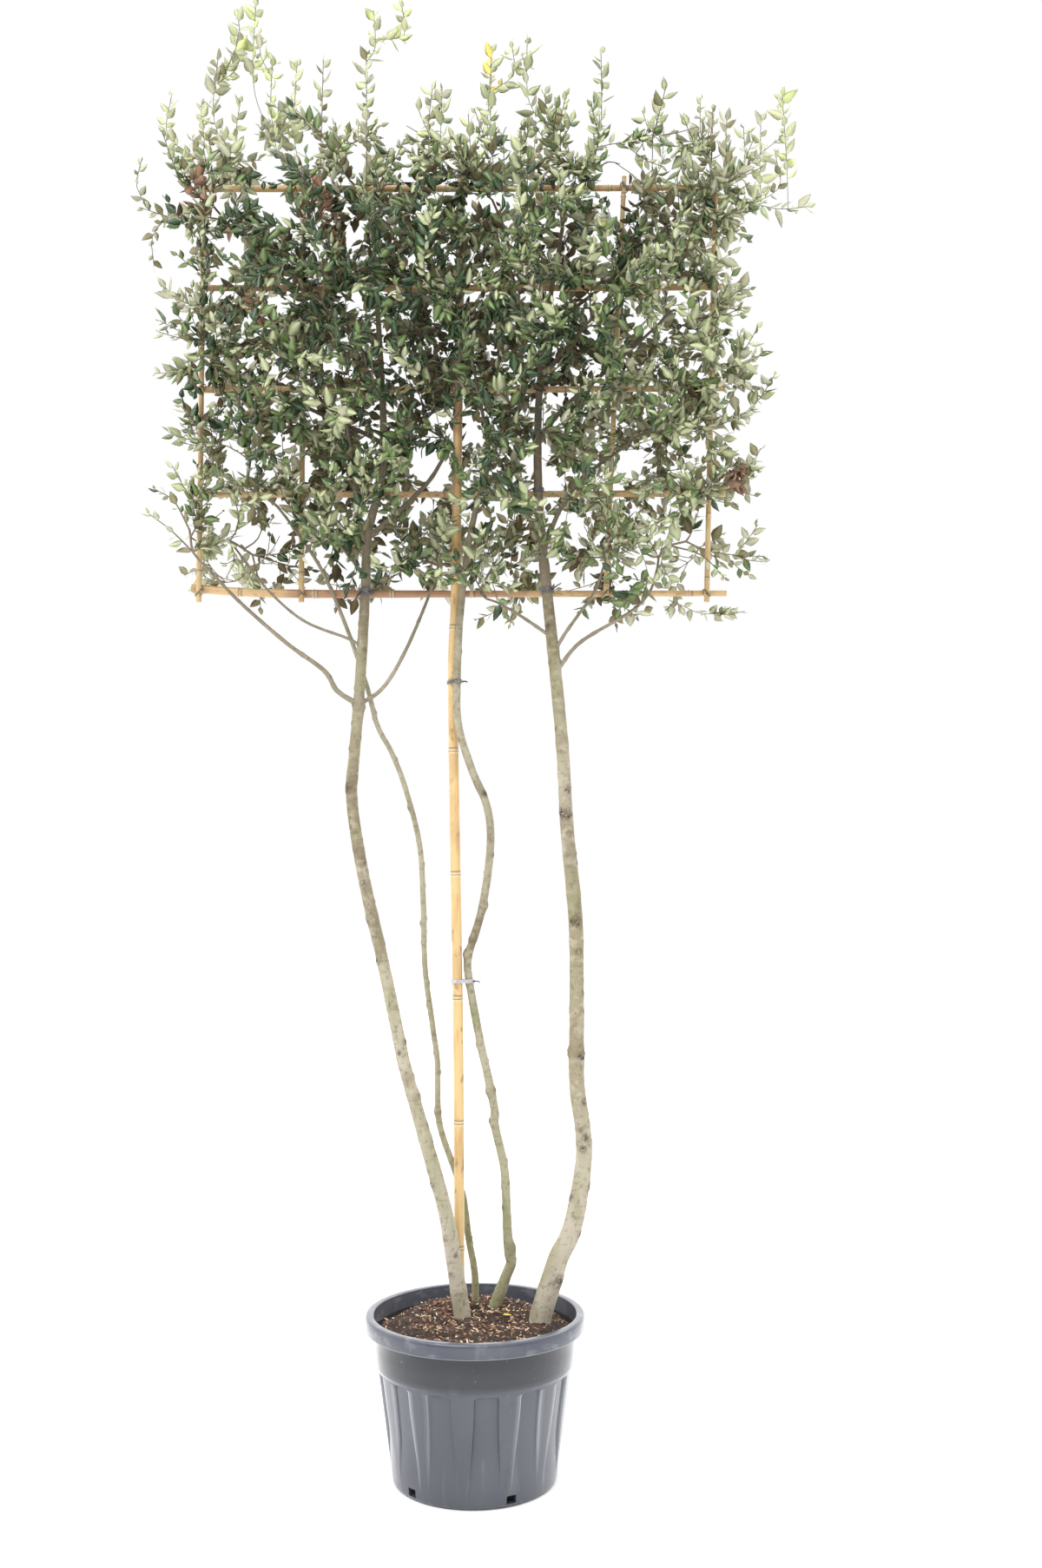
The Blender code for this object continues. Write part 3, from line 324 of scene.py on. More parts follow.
cane = Finish("cane", (0.560, 0.370, 0.150), 0.42, Coat_Weight=0.15)
cane.layer(cane.mask(mottle, Scale=4.0, Stretch=0.25, Low=0.38, High=0.66), (0.640, 0.460, 0.230), 0.8)
cane.layer(cane.mask(zone, Low=2.0, High=2.6), (0.655, 0.470, 0.212), 0.7)
cane.layer(cane.mask(mottle, Scale=70.0, Stretch=0.12, Low=0.50, High=0.66), (0.480, 0.280, 0.090), 0.6)
cane.layer(cane.mask(mottle, Scale=5.0, Stretch=0.8, Low=0.50, High=0.62), (0.380, 0.210, 0.100), 0.45)
cane.layer(cane.both(cane.mask(zone, Low=2.70, High=2.45), cane.mask(mottle, Scale=9.0, Low=0.40, High=0.56)),
           (0.260, 0.140, 0.072), 0.60)
cane.layer(cane.mask(mottle, Scale=40.0, Stretch=0.5, Low=0.60, High=0.70), (0.200, 0.110, 0.055), 0.6)
cane.layer(cane.attribute("jointBand"), (0.640, 0.520, 0.330), 0.8)
cane.layer(cane.attribute("jointLine"), (0.110, 0.060, 0.032), 0.8)
cane.bump(cane.mask(mottle, "Raw", Scale=260.0, Stretch=0.06), 0.25, 0.0006)
materials["cane"] = cane.material

post = Finish("canePost", (0.520, 0.365, 0.165), 0.5, Coat_Weight=0.1)
post.layer(post.mask(mottle, Scale=9.0, Stretch=0.5, Low=0.42, High=0.60), (0.350, 0.220, 0.105), 0.65)
post.layer(post.mask(mottle, Scale=24.0, Stretch=0.5, Low=0.54, High=0.64), (0.560, 0.430, 0.220), 0.7)
post.layer(post.mask(mottle, Scale=40.0, Stretch=0.5, Low=0.58, High=0.68), (0.150, 0.092, 0.050), 0.55)
post.layer(post.attribute("jointBand"), (0.500, 0.400, 0.250), 0.7)
post.layer(post.attribute("jointLine"), (0.100, 0.058, 0.032), 0.8)
post.bump(post.mask(mottle, "Raw", Scale=260.0, Stretch=0.06), 0.25, 0.0006)
materials["canePost"] = post.material

bar = Finish("caneBar", (0.500, 0.335, 0.145), 0.45, Coat_Weight=0.1)
bar.layer(bar.mask(mottle, Scale=4.0, Stretch=2.0, Low=0.38, High=0.66), (0.580, 0.400, 0.200), 0.8)
# darker and redder from about x -0.5 to 0.1 along the lowest bar, under the crown
redderMiddle = bar.both(bar.mask(across, Low=0.02, High=0.24), bar.mask(across, Low=-0.42, High=-0.66))
bar.layer(bar.both(redderMiddle, bar.mask(zone, Low=2.55, High=2.62)), (0.290, 0.135, 0.072), 0.80)
bar.layer(bar.mask(mottle, Scale=9.0, Low=0.48, High=0.60), (0.270, 0.150, 0.072), 0.50)
bar.layer(bar.mask(mottle, Scale=40.0, Stretch=3.0, Low=0.58, High=0.70), (0.150, 0.085, 0.050), 0.6)
bar.layer(bar.attribute("jointBand"), (0.460, 0.350, 0.220), 0.7)
bar.layer(bar.attribute("jointLine"), (0.090, 0.052, 0.030), 0.8)
bar.bump(bar.mask(mottle, "Raw", Scale=120.0, Stretch=3.0), 0.25, 0.0006)
materials["caneBar"] = bar.material

caneJoint = Finish("caneJoint", (0.400, 0.240, 0.100), 0.6)
caneJoint.layer(caneJoint.mask(mottle, Scale=90.0, Low=0.45, High=0.6), (0.700, 0.560, 0.340), 0.8)
caneJoint.bump(caneJoint.mask(mottle, "Raw", Scale=300.0), 0.3, 0.0005)
materials["caneJoint"] = caneJoint.material

tie = Finish("tie", (0.110, 0.103, 0.100), 0.55)
tie.layer(tie.mask(mottle, Scale=90.0, Low=0.45, High=0.6), (0.230, 0.220, 0.215), 0.7)
tie.bump(tie.mask(mottle, "Raw", Scale=500.0), 0.2, 0.0004)
materials["tie"] = tie.material

paleTie = Finish("paleTie", (0.430, 0.430, 0.425), 0.6)
paleTie.layer(paleTie.mask(mottle, Scale=90.0, Low=0.45, High=0.6), (0.560, 0.560, 0.555), 0.7)
paleTie.bump(paleTie.mask(mottle, "Raw", Scale=500.0), 0.2, 0.0004)
materials["paleTie"] = paleTie.material

tail = Finish("tieTail", (0.030, 0.030, 0.032), 0.5)
tail.layer(tail.mask(mottle, Scale=90.0, Low=0.45, High=0.6), (0.075, 0.074, 0.076), 0.7)
materials["tieTail"] = tail.material

pot = Finish("potPlastic", (0.066, 0.072, 0.088), 0.40, Coat_Weight=0.9, Coat_Roughness=0.20,
             Specular_IOR_Level=0.12)
pot.layer(pot.mask(mottle, Scale=4.0, Stretch=0.6, Low=0.40, High=0.68), (0.084, 0.091, 0.110), 0.8)
pot.layer(pot.mask(mottle, Scale=30.0, Stretch=0.15, Low=0.58, High=0.72), (0.150, 0.160, 0.182), 0.35)
# the rim keeps the light off the collar and the collar off the panels' tops
belowRim = pot.mask(zone, Low=0.404, High=0.408)
pot.layer(pot.both(belowRim, pot.mask(zone, Low=0.332, High=0.300)), (0.016, 0.018, 0.023), 0.90)
pot.layer(pot.both(belowRim, pot.mask(zone, Low=0.400, High=0.345)), (0.006, 0.007, 0.009), 0.70)
aboveSkirt = pot.mask(zone, Low=0.412, High=0.406)
pot.layer(pot.both(aboveSkirt, pot.mask(mottle, Scale=7.0, Stretch=1.6, Low=0.36, High=0.58)),
          (0.050, 0.055, 0.082), 0.85)
pot.layer(pot.both(aboveSkirt, pot.mask(mottle, Scale=22.0, Stretch=2.0, Low=0.52, High=0.68)),
          (0.190, 0.198, 0.225), 0.4)
pot.layer(pot.mask(mottle, Scale=55.0, Stretch=1.2, Low=0.66, High=0.76), (0.220, 0.218, 0.215), 0.25)
pot.layer(pot.mask(spots, Scale=110.0, Size=0.06), (0.330, 0.320, 0.300), 0.3)
pot.layer(pot.attribute("shade"), (0.030, 0.032, 0.040), 0.30)
# painted highlight on the flute steps that face sideways, a light lip line that is partly wear, and a faint painted
# reflection inside the rim
pot.layer(pot.attribute("wearAndHighlight"), (0.680, 0.700, 0.740), 0.90)
pot.roughBy(pot.mask(mottle, "Raw", Scale=14.0), 0.20, 0.44)
pot.bump(pot.mask(mottle, "Raw", Scale=220.0), 0.10, 0.0005)
materials["pot"] = pot.material

soil = Finish("soilBed", (0.022, 0.014, 0.010), 0.95)
soil.layer(soil.mask(mottle, Scale=60.0, Low=0.45, High=0.62), (0.060, 0.034, 0.022), 0.8)
soil.bump(soil.mask(mottle, "Raw", Scale=180.0, Detail=10.0), 0.9, 0.004)
materials["soil"] = soil.material

chipColours = {
    "Dark": ((0.046, 0.026, 0.018), (0.110, 0.060, 0.040)),
    "Brown": ((0.200, 0.100, 0.058), (0.380, 0.225, 0.140)),
    "Pale": ((0.680, 0.490, 0.320), (0.850, 0.700, 0.540)),
}
for label, (base, other) in chipColours.items():
    chip = Finish("chip" + label, base, 0.9)
    chip.layer(chip.mask(mottle, Scale=80.0, Low=0.42, High=0.6), other, 0.9)
    chip.bump(chip.mask(mottle, "Raw", Scale=350.0, Stretch=0.4), 0.5, 0.001)
    materials["chip" + label] = chip.material

# upper side, under side, gloss of the upper side
leafKinds = {
    "Dark": ((0.034, 0.066, 0.026), (0.112, 0.088, 0.038), 0.24),
    "Mid": ((0.124, 0.180, 0.062), (0.285, 0.262, 0.138), 0.32),
    "Pale": ((0.385, 0.420, 0.232), (0.540, 0.540, 0.375), 0.55),
    "Young": ((0.520, 0.565, 0.245), (0.610, 0.630, 0.385), 0.50),
    "Dry": ((0.230, 0.120, 0.070), (0.330, 0.200, 0.125), 0.75),
    "Yellow": ((0.700, 0.580, 0.130), (0.640, 0.540, 0.200), 0.60),
}
for label, (upper, under, roughness) in leafKinds.items():
    top = Finish("leafTop" + label, upper, roughness)
    top.layer(top.mask(mottle, Scale=11.0, Detail=1.0, Low=0.40, High=0.60), tuple(1.3 * c for c in upper), 0.8)
    top.layer(top.mask(mottle, Scale=17.0, Detail=1.0, Low=0.50, High=0.66), tuple(0.68 * c for c in upper), 0.7)
    top.bump(top.mask(mottle, "Raw", Scale=420.0), 0.15, 0.0006)
    materials["leafTop" + label] = top.material
    back = Finish("leafBack" + label, under, 0.8)
    back.layer(back.mask(mottle, Scale=14.0, Detail=1.0, Low=0.40, High=0.62), tuple(0.76 * c for c in under), 0.8)
    materials["leafBack" + label] = back.material

acorn = Finish("acorn", (0.300, 0.330, 0.090), 0.3)
acorn.layer(acorn.mask(mottle, Scale=60.0, Stretch=0.3), (0.420, 0.400, 0.130), 0.8)
materials["acorn"] = acorn.material
cup = Finish("acornCup", (0.260, 0.230, 0.160), 0.9)
cup.layer(cup.mask(spots, Scale=500.0, Size=0.4), (0.420, 0.390, 0.300), 0.8)
materials["acornCup"] = cup.material
print("materials made:", len(materials))


# node trees
def endTree(tree, out, geometry, material):
    real = addNode(tree, "GeometryNodeRealizeInstances")
    tree.links.new(geometry, real.inputs["Geometry"])
    paint = addNode(tree, "GeometryNodeSetMaterial")
    tree.links.new(real.outputs["Geometry"], paint.inputs["Geometry"])
    tree.links.new(material, paint.inputs["Material"])
    tree.links.new(paint.outputs["Geometry"], out.inputs["Geometry"])
    return paint


def makeTubeTree():
    # chains of edges with a "girth" attribute become closed tubes with a relief
    tree, given, out = newGroup(
        "tubes", "GeometryNodeTree",
        [("Geometry", "NodeSocketGeometry", None), ("Sides", "NodeSocketInt", 12),
         ("Relief", "NodeSocketFloat", 0.0), ("Grain", "NodeSocketFloat", 60.0),
         ("Material", "NodeSocketMaterial", None)],
        [("Geometry", "NodeSocketGeometry")],
    )
    chain = addNode(tree, "GeometryNodeMeshToCurve")
    tree.links.new(given.outputs["Geometry"], chain.inputs["Mesh"])
    girth = addNode(tree, "GeometryNodeInputNamedAttribute", data_type="FLOAT")
    girth.inputs["Name"].default_value = "girth"
    sized = addNode(tree, "GeometryNodeSetCurveRadius")
    tree.links.new(chain.outputs["Curve"], sized.inputs["Curve"])
    tree.links.new(girth.outputs["Attribute"], sized.inputs["Radius"])
    ring = addNode(tree, "GeometryNodeCurvePrimitiveCircle")
    ring.inputs["Radius"].default_value = 1.0
    tree.links.new(given.outputs["Sides"], ring.inputs["Resolution"])
    tube = addNode(tree, "GeometryNodeCurveToMesh")
    tube.inputs["Fill Caps"].default_value = True
    tree.links.new(sized.outputs["Curve"], tube.inputs["Curve"])
    tree.links.new(ring.outputs["Curve"], tube.inputs["Profile Curve"])
    if "Scale" in tube.inputs:
        tree.links.new(girth.outputs["Attribute"], tube.inputs["Scale"])
    cloud = addNode(tree, "ShaderNodeTexNoise")
    tree.links.new(given.outputs["Grain"], cloud.inputs["Scale"])
    cloud.inputs["Detail"].default_value = 3.0
    level = addNode(tree, "ShaderNodeMath", operation="SUBTRACT")
    tree.links.new(cloud.outputs["Fac"], level.inputs[0])
    level.inputs[1].default_value = 0.5
    height = addNode(tree, "ShaderNodeMath", operation="MULTIPLY")
    tree.links.new(level.outputs[0], height.inputs[0])
    tree.links.new(given.outputs["Relief"], height.inputs[1])
    normal = addNode(tree, "GeometryNodeInputNormal")
    push = addNode(tree, "ShaderNodeVectorMath", operation="SCALE")
    tree.links.new(normal.outputs["Normal"], push.inputs[0])
    tree.links.new(height.outputs[0], push.inputs["Scale"])
    moved = addNode(tree, "GeometryNodeSetPosition")
    tree.links.new(tube.outputs["Mesh"], moved.inputs["Geometry"])
    tree.links.new(push.outputs["Vector"], moved.inputs["Offset"])
    smooth = addNode(tree, "GeometryNodeSetShadeSmooth")
    tree.links.new(moved.outputs["Geometry"], smooth.inputs["Geometry"])
    endTree(tree, out, smooth.outputs["Geometry"], given.outputs["Material"])
    return tree


def makeLeafTree():
    # every point gets the leaf that its "kind" names, turned by "turn" and sized by "size"
    tree, given, out = newGroup(
        "leaves on points", "GeometryNodeTree",
        [("Geometry", "NodeSocketGeometry", None), ("Patterns", "NodeSocketCollection", None),
         ("Upper", "NodeSocketMaterial", None), ("Under", "NodeSocketMaterial", None)],
        [("Geometry", "NodeSocketGeometry")],
    )
    patterns = addNode(tree, "GeometryNodeCollectionInfo")
    patterns.inputs["Separate Children"].default_value = True
    patterns.inputs["Reset Children"].default_value = True
    tree.links.new(given.outputs["Patterns"], patterns.inputs["Collection"])
    attributes = {}
    for label, kind in (("turn", "FLOAT_VECTOR"), ("size", "FLOAT"), ("kind", "INT"), ("under", "BOOLEAN")):
        reader = addNode(tree, "GeometryNodeInputNamedAttribute", data_type=kind)
        reader.inputs["Name"].default_value = label
        attributes[label] = reader.outputs["Attribute"]
    placed = addNode(tree, "GeometryNodeInstanceOnPoints")
    placed.inputs["Pick Instance"].default_value = True
    tree.links.new(given.outputs["Geometry"], placed.inputs["Points"])
    tree.links.new(patterns.outputs["Instances"], placed.inputs["Instance"])
    tree.links.new(attributes["kind"], placed.inputs["Instance Index"])
    tree.links.new(attributes["turn"], placed.inputs["Rotation"])
    tree.links.new(attributes["size"], placed.inputs["Scale"])
    paint = endTree(tree, out, placed.outputs["Instances"], given.outputs["Upper"])
    below = addNode(tree, "GeometryNodeSetMaterial")
    tree.links.new(paint.outputs["Geometry"], below.inputs["Geometry"])
    tree.links.new(attributes["under"], below.inputs["Selection"])
    tree.links.new(given.outputs["Under"], below.inputs["Material"])
    tree.links.new(below.outputs["Geometry"], out.inputs["Geometry"])
    return tree


def makeScatterTree():
    # a pattern strewn over the faces at random
    tree, given, out = newGroup(
        "strewn bits", "GeometryNodeTree",
        [("Geometry", "NodeSocketGeometry", None), ("Patterns", "NodeSocketCollection", None),
         ("Density", "NodeSocketFloat", 1000.0), ("Smallest", "NodeSocketFloat", 0.5),
         ("Largest", "NodeSocketFloat", 1.5), ("Seed", "NodeSocketInt", 1),
         ("Material", "NodeSocketMaterial", None)],
        [("Geometry", "NodeSocketGeometry")],
    )
    points = addNode(tree, "GeometryNodeDistributePointsOnFaces")
    tree.links.new(given.outputs["Geometry"], points.inputs["Mesh"])
    tree.links.new(given.outputs["Density"], points.inputs["Density"])
    tree.links.new(given.outputs["Seed"], points.inputs["Seed"])
    patterns = addNode(tree, "GeometryNodeCollectionInfo")
    patterns.inputs["Separate Children"].default_value = True
    patterns.inputs["Reset Children"].default_value = True
    tree.links.new(given.outputs["Patterns"], patterns.inputs["Collection"])
    turn = addNode(tree, "FunctionNodeRandomValue", data_type="FLOAT_VECTOR")
    turn.inputs["Min"].default_value = (-0.55, -0.55, 0.0)
    turn.inputs["Max"].default_value = (0.55, 0.55, 6.283)
    tree.links.new(given.outputs["Seed"], turn.inputs["Seed"])
    size = addNode(tree, "FunctionNodeRandomValue", data_type="FLOAT")
    tree.links.new(given.outputs["Smallest"], size.inputs[2])
    tree.links.new(given.outputs["Largest"], size.inputs[3])
    tree.links.new(given.outputs["Seed"], size.inputs["Seed"])
    placed = addNode(tree, "GeometryNodeInstanceOnPoints")
    placed.inputs["Pick Instance"].default_value = True
    tree.links.new(points.outputs["Points"], placed.inputs["Points"])
    tree.links.new(patterns.outputs["Instances"], placed.inputs["Instance"])
    tree.links.new(turn.outputs[0], placed.inputs["Rotation"])
    tree.links.new(size.outputs[1], placed.inputs["Scale"])
    endTree(tree, out, placed.outputs["Instances"], given.outputs["Material"])
    return tree


tubeTree = makeTubeTree()
leafTree = makeLeafTree()
scatterTree = makeScatterTree()
print("node trees made")


# limbs
stemPaths = {
    "stem_left": (((0, 0.0240), (0.08, 0.0210), (0.2, 0.0185), (0.6, 0.0152), (1, 0.0055)), (
        (-0.036, 0.015, 0.4303), (-0.0565, 0.012, 0.556), (-0.085, 0.005, 0.720),
        (-0.133, 0.000, 0.892), (-0.200, 0.000, 1.122), (-0.216, 0.000, 1.193),
        (-0.266, 0.000, 1.425),
        (-0.319, 0.000, 1.649), (-0.356, 0.000, 1.871), (-0.350, -0.004, 2.020),
        (-0.338, -0.010, 2.165), (-0.322, -0.018, 2.460), (-0.314, -0.020, 2.650),
        (-0.279, -0.020, 2.803), (-0.272, -0.020, 2.960), (-0.284, -0.020, 3.200),
        (-0.308, -0.020, 3.569),
    )),
    "stem_thin": (((0, 0.0102), (0.2, 0.0094), (0.3, 0.0083), (0.7, 0.0072), (1, 0.0035)), (
        (-0.003, 0.130, 0.4303), (-0.006, 0.126, 0.525), (-0.0235, 0.121, 0.622),
        (-0.043, 0.112, 0.755), (-0.100, 0.100, 0.921), (-0.112, 0.095, 1.000),
        (-0.114, 0.089, 1.130), (-0.126, 0.085, 1.219), (-0.150, 0.077, 1.400),
        (-0.155, 0.068, 1.580), (-0.167, 0.060, 1.758), (-0.209, 0.049, 1.922),
        (-0.247, 0.044, 2.020), (-0.289, 0.038, 2.100), (-0.320, 0.034, 2.214),
        (-0.372, 0.025, 2.365),
        (-0.427, -0.020, 2.503), (-0.475, -0.032, 2.590), (-0.564, -0.048, 2.712),
        (-0.603, -0.055, 2.745),
    )),
    "stem_middle": (((0, 0.0175), (0.04, 0.0150), (0.1, 0.0124), (0.6, 0.0105), (1, 0.0050)), (
        (0.051, 0.100, 0.4303), (0.0855, 0.090, 0.522), (0.100, 0.084, 0.563),
        (0.092, 0.080, 0.602), (0.087, 0.072, 0.711), (0.080, 0.066, 0.830),
        (0.0545, 0.061, 0.946), (0.0530, 0.059, 0.992), (0.0335, 0.055, 1.090),
        (0.010, 0.050, 1.195), (-0.020, 0.036, 1.363), (-0.022, 0.034, 1.435),
        (0.017, 0.030, 1.575), (0.040, 0.020, 1.747), (0.031, 0.010, 1.860),
        (-0.012, -0.010, 1.965), (-0.050, -0.030, 2.090), (-0.055, -0.033, 2.219),
        (-0.043, -0.039, 2.450), (-0.010, -0.036, 2.684), (0.053, -0.034, 2.901),
        (0.124, -0.034, 3.020), (0.130, -0.032, 3.140), (0.094, -0.025, 3.461),
    )),
    "stem_right": (((0, 0.0315), (0.09, 0.0268), (0.15, 0.0230), (0.6, 0.0171), (1, 0.0055)), (
        (0.181, 0.000, 0.4303), (0.230, 0.000, 0.586), (0.2625, 0.000, 0.652),
        (0.2840, 0.000, 0.728), (0.305, 0.000, 0.868), (0.302, 0.000, 0.956),
        (0.286, 0.000, 1.080), (0.286, 0.000, 1.270),
        (0.284, 0.000, 1.528), (0.260, 0.000, 1.800), (0.247, -0.004, 2.033),
        (0.225, -0.013, 2.270), (0.204, -0.019, 2.470), (0.180, -0.020, 2.735),
        (0.178, -0.020, 3.000), (0.199, -0.020, 3.255), (0.250, -0.020, 3.563),
    )),
}
boughPaths = {
    "bough_low_far_left": (((0, 0.0088), (1, 0.0045)), (
        (-0.340, -0.010, 2.155), (-0.400, -0.020, 2.194), (-0.437, -0.028, 2.251),
        (-0.544, -0.038, 2.329), (-0.680, -0.050, 2.448), (-0.766, -0.060, 2.539),
    )),
    "bough_low_left": (((0, 0.0050), (1, 0.0035)), (
        (-0.327, -0.013, 2.320), (-0.371, -0.036, 2.343), (-0.492, -0.062, 2.389),
        (-0.596, -0.078, 2.478), (-0.674, -0.090, 2.579),
    )),
    "bough_low_mid_left": (((0, 0.0060), (1, 0.0040)), (
        (-0.320, -0.018, 2.515), (-0.351, -0.050, 2.560), (-0.403, -0.090, 2.620),
    )),
    "bough_low_centre_left": (((0, 0.0072), (1, 0.0045)), (
        (-0.339, -0.010, 2.153), (-0.267, -0.022, 2.203), (-0.204, -0.028, 2.307),
        (-0.142, -0.034, 2.452), (-0.122, -0.038, 2.511),
    )),
    "bough_mid_centre_left": (((0, 0.0100), (1, 0.0060)), (
        (-0.312, -0.020, 2.640), (-0.233, -0.036, 2.704), (-0.142, -0.050, 2.791),
        (-0.096, -0.060, 2.860),
    )),
    "bough_mid_left": (((0, 0.0090), (1, 0.0050)), (
        (-0.316, -0.020, 2.600), (-0.347, -0.040, 2.740), (-0.356, -0.044, 2.850),
        (-0.392, -0.052, 3.050),
    )),
    "bough_mid_far_left": (((0, 0.0080), (1, 0.0045)), (
        (-0.272, -0.020, 2.915), (-0.330, 0.025, 2.960), (-0.398, 0.050, 2.996),
        (-0.544, 0.070, 3.073), (-0.680, 0.080, 3.161), (-0.740, 0.080, 3.230),
    )),
    "bough_high_left": (((0, 0.0070), (1, 0.0045)), (
        (-0.278, -0.020, 3.085), (-0.315, -0.050, 3.160), (-0.396, -0.090, 3.248),
    )),
    "bough_top_far_left": (((0, 0.0075), (1, 0.0045)), (
        (-0.284, -0.020, 3.195), (-0.332, 0.020, 3.253), (-0.401, 0.050, 3.328),
        (-0.520, 0.062, 3.432), (-0.625, 0.064, 3.512), (-0.700, 0.064, 3.572),
    )),
    "bough_centre": (((0, 0.0070), (1, 0.0045)), (
        (0.040, -0.034, 2.862), (0.024, -0.062, 2.957), (-0.005, -0.095, 3.100),
    )),
    "bough_low_centre_right": (((0, 0.0062), (1, 0.0040)), (
        (0.216, -0.016, 2.350), (0.126, -0.036, 2.408), (0.058, -0.050, 2.445),
    )),
    "bough_low_right": (((0, 0.0060), (1, 0.0040)), (
        (0.222, -0.014, 2.300), (0.255, -0.032, 2.358), (0.335, -0.042, 2.470),
        (0.357, -0.050, 2.523),
    )),
    "bough_low_far_right": (((0, 0.0070), (1, 0.0040)), (
        (0.227, -0.012, 2.245), (0.297, -0.030, 2.331), (0.439, -0.045, 2.416),
        (0.496, -0.055, 2.474), (0.517, -0.065, 2.538),
    )),
    "bough_mid_right": (((0, 0.0080), (1, 0.0045)), (
        (0.200, -0.020, 2.555), (0.165, -0.050, 2.665), (0.116, -0.078, 2.755),
    )),
    "bough_mid_far_right": (((0, 0.0085), (1, 0.0050)), (
        (0.192, -0.020, 2.600), (0.240, -0.038, 2.715), (0.308, -0.044, 2.810),
        (0.434, -0.050, 2.904),
    )),
    "bough_high_right": (((0, 0.0065), (1, 0.0045)), (
        (0.182, -0.020, 3.090), (0.228, -0.055, 3.151), (0.290, -0.090, 3.214),
    )),
    "bough_high_far_right": (((0, 0.0080), (1, 0.0045)), (
        (0.178, -0.020, 2.925), (0.251, -0.042, 3.014), (0.349, -0.050, 3.098),
        (0.467, -0.055, 3.202), (0.530, -0.060, 3.260),
    )),
    "bough_top_far_right": (((0, 0.0072), (1, 0.0045)), (
        (0.197, -0.020, 3.232), (0.232, 0.020, 3.290), (0.283, 0.050, 3.346),
        (0.387, 0.062, 3.432), (0.505, 0.066, 3.541), (0.575, 0.070, 3.615),
    )),
}
limbLook = {
    "stemStep": 0.007, "stemSides": 30, "stemRelief": 0.0022, "stemGrain": 48.0,
    "boughStep": 0.010, "boughSides": 12, "boughRelief": 0.0012, "boughGrain": 90.0,
    "knotSpacing": 0.16, "knotSwell": 0.08, "knotLength": 0.014, "budSpacing": 0.075, "boughGirth": 0.87,
    "seed": 3,
}
# old branch scars: height, side in degrees from the front towards +X, size in radii, style
# (0 a crater, 1 a stub, 2 a crater in a bent crease)
stemKnots = {
    "stem_left": ((0.545, -35, 0.30, 0), (0.600, 25, 0.30, 0), (0.652, -30, 0.40, 0), (0.793, -60, 0.55, 0),
                  (0.880, 50, 0.30, 0), (0.960, 70, 0.35, 0), (1.044, 60, 0.60, 1), (1.160, -20, 0.40, 0),
                  (1.188, 65, 0.55, 0), (1.300, -20, 0.30, 0), (1.420, -60, 0.60, 0), (1.531, -65, 0.60, 0),
                  (1.640, -15, 0.50, 0), (1.700, 40, 0.35, 0), (1.800, -40, 0.40, 0), (1.908, -40, 1.00, 0),
                  (2.060, 80, 0.30, 0), (2.159, -80, 0.70, 1), (2.150, 80, 0.70, 1), (2.310, 30, 0.40, 0),
                  (2.420, -60, 0.35, 0)),
    "stem_thin": ((0.620, 60, 0.6, 1), (0.790, -80, 0.6, 1), (0.985, -60, 1.2, 1), (1.100, 75, 0.7, 1),
                  (1.212, 0, 1.1, 1), (1.290, -75, 0.6, 1), (1.360, 80, 0.6, 1), (1.523, -80, 1.1, 1),
                  (1.700, 60, 0.8, 1), (1.858, -60, 1.1, 1), (2.000, 80, 0.7, 1), (2.134, 60, 1.1, 1)),
    "stem_middle": ((0.600, 75, 1.2, 1), (0.720, -60, 0.5, 0), (0.790, 40, 0.4, 0), (0.850, 70, 0.5, 1),
                    (0.962, -70, 1.1, 1), (1.047, -60, 0.9, 1), (1.052, 60, 0.8, 1), (1.180, -75, 0.6, 1),
                    (1.330, 10, 0.5, 0), (1.440, -75, 1.2, 1), (1.573, 70, 1.0, 1), (1.720, 60, 0.5, 0),
                    (1.896, 40, 1.0, 0), (2.050, -50, 0.5, 0), (2.300, 70, 0.5, 1)),
    "stem_right": ((0.530, 45, 0.75, 0), (0.660, 65, 0.40, 0), (0.793, 65, 0.50, 0), (0.760, -60, 0.40, 0),
                   (0.900, -10, 0.50, 0), (0.925, 12, 0.50, 0), (0.945, -18, 0.35, 0), (1.023, 35, 0.50, 0),
                   (1.163, -85, 0.55, 1), (1.156, 50, 0.75, 2), (1.330, 60, 0.30, 0), (1.445, 15, 0.55, 0),
                   (1.532, 0, 0.95, 2), (1.700, 70, 0.35, 0), (1.835, -5, 1.05, 2), (1.845, -45, 0.55, 0),
                   (1.907, 30, 0.65, 2), (2.080, -60, 0.35, 0), (2.272, 60, 0.70, 1), (2.381, -30, 0.70, 0)),
}
# where the bark is stained brown: from, to, how strongly
stainedStretches = {
    "stem_left": ((1.42, 1.87, 0.55), (2.30, 2.48, 0.45)), "stem_middle": ((1.43, 1.58, 0.80),),
    "stem_right": ((1.72, 1.90, 0.40), (2.30, 2.45, 0.60)),
}


def smoothPath(points, step):
    knots = [Vector(p) for p in points]
    knots = [2 * knots[0] - knots[1], *knots, 2 * knots[-1] - knots[-2]]
    path = [knots[1]]
    for before, start, end, after in zip(knots, knots[1:], knots[2:], knots[3:]):
        count = max(1, round((end - start).length / step))
        for i in range(1, count + 1):
            t = i / count
            path.append(0.5 * (
                2 * start + (end - before) * t
                + (2 * before - 5 * start + 4 * end - after) * t ** 2
                + (3 * start - before - 3 * end + after) * t ** 3
            ))
    return path


def runAlong(path):
    run = [0.0]
    for start, end in zip(path, path[1:]):
        run.append(run[-1] + (end - start).length)
    return run


def girthAt(taper, share):
    for (s0, r0), (s1, r1) in zip(taper, taper[1:]):
        if share <= s1:
            return r0 + (r1 - r0) * (share - s0) / (s1 - s0)
    return taper[-1][1]


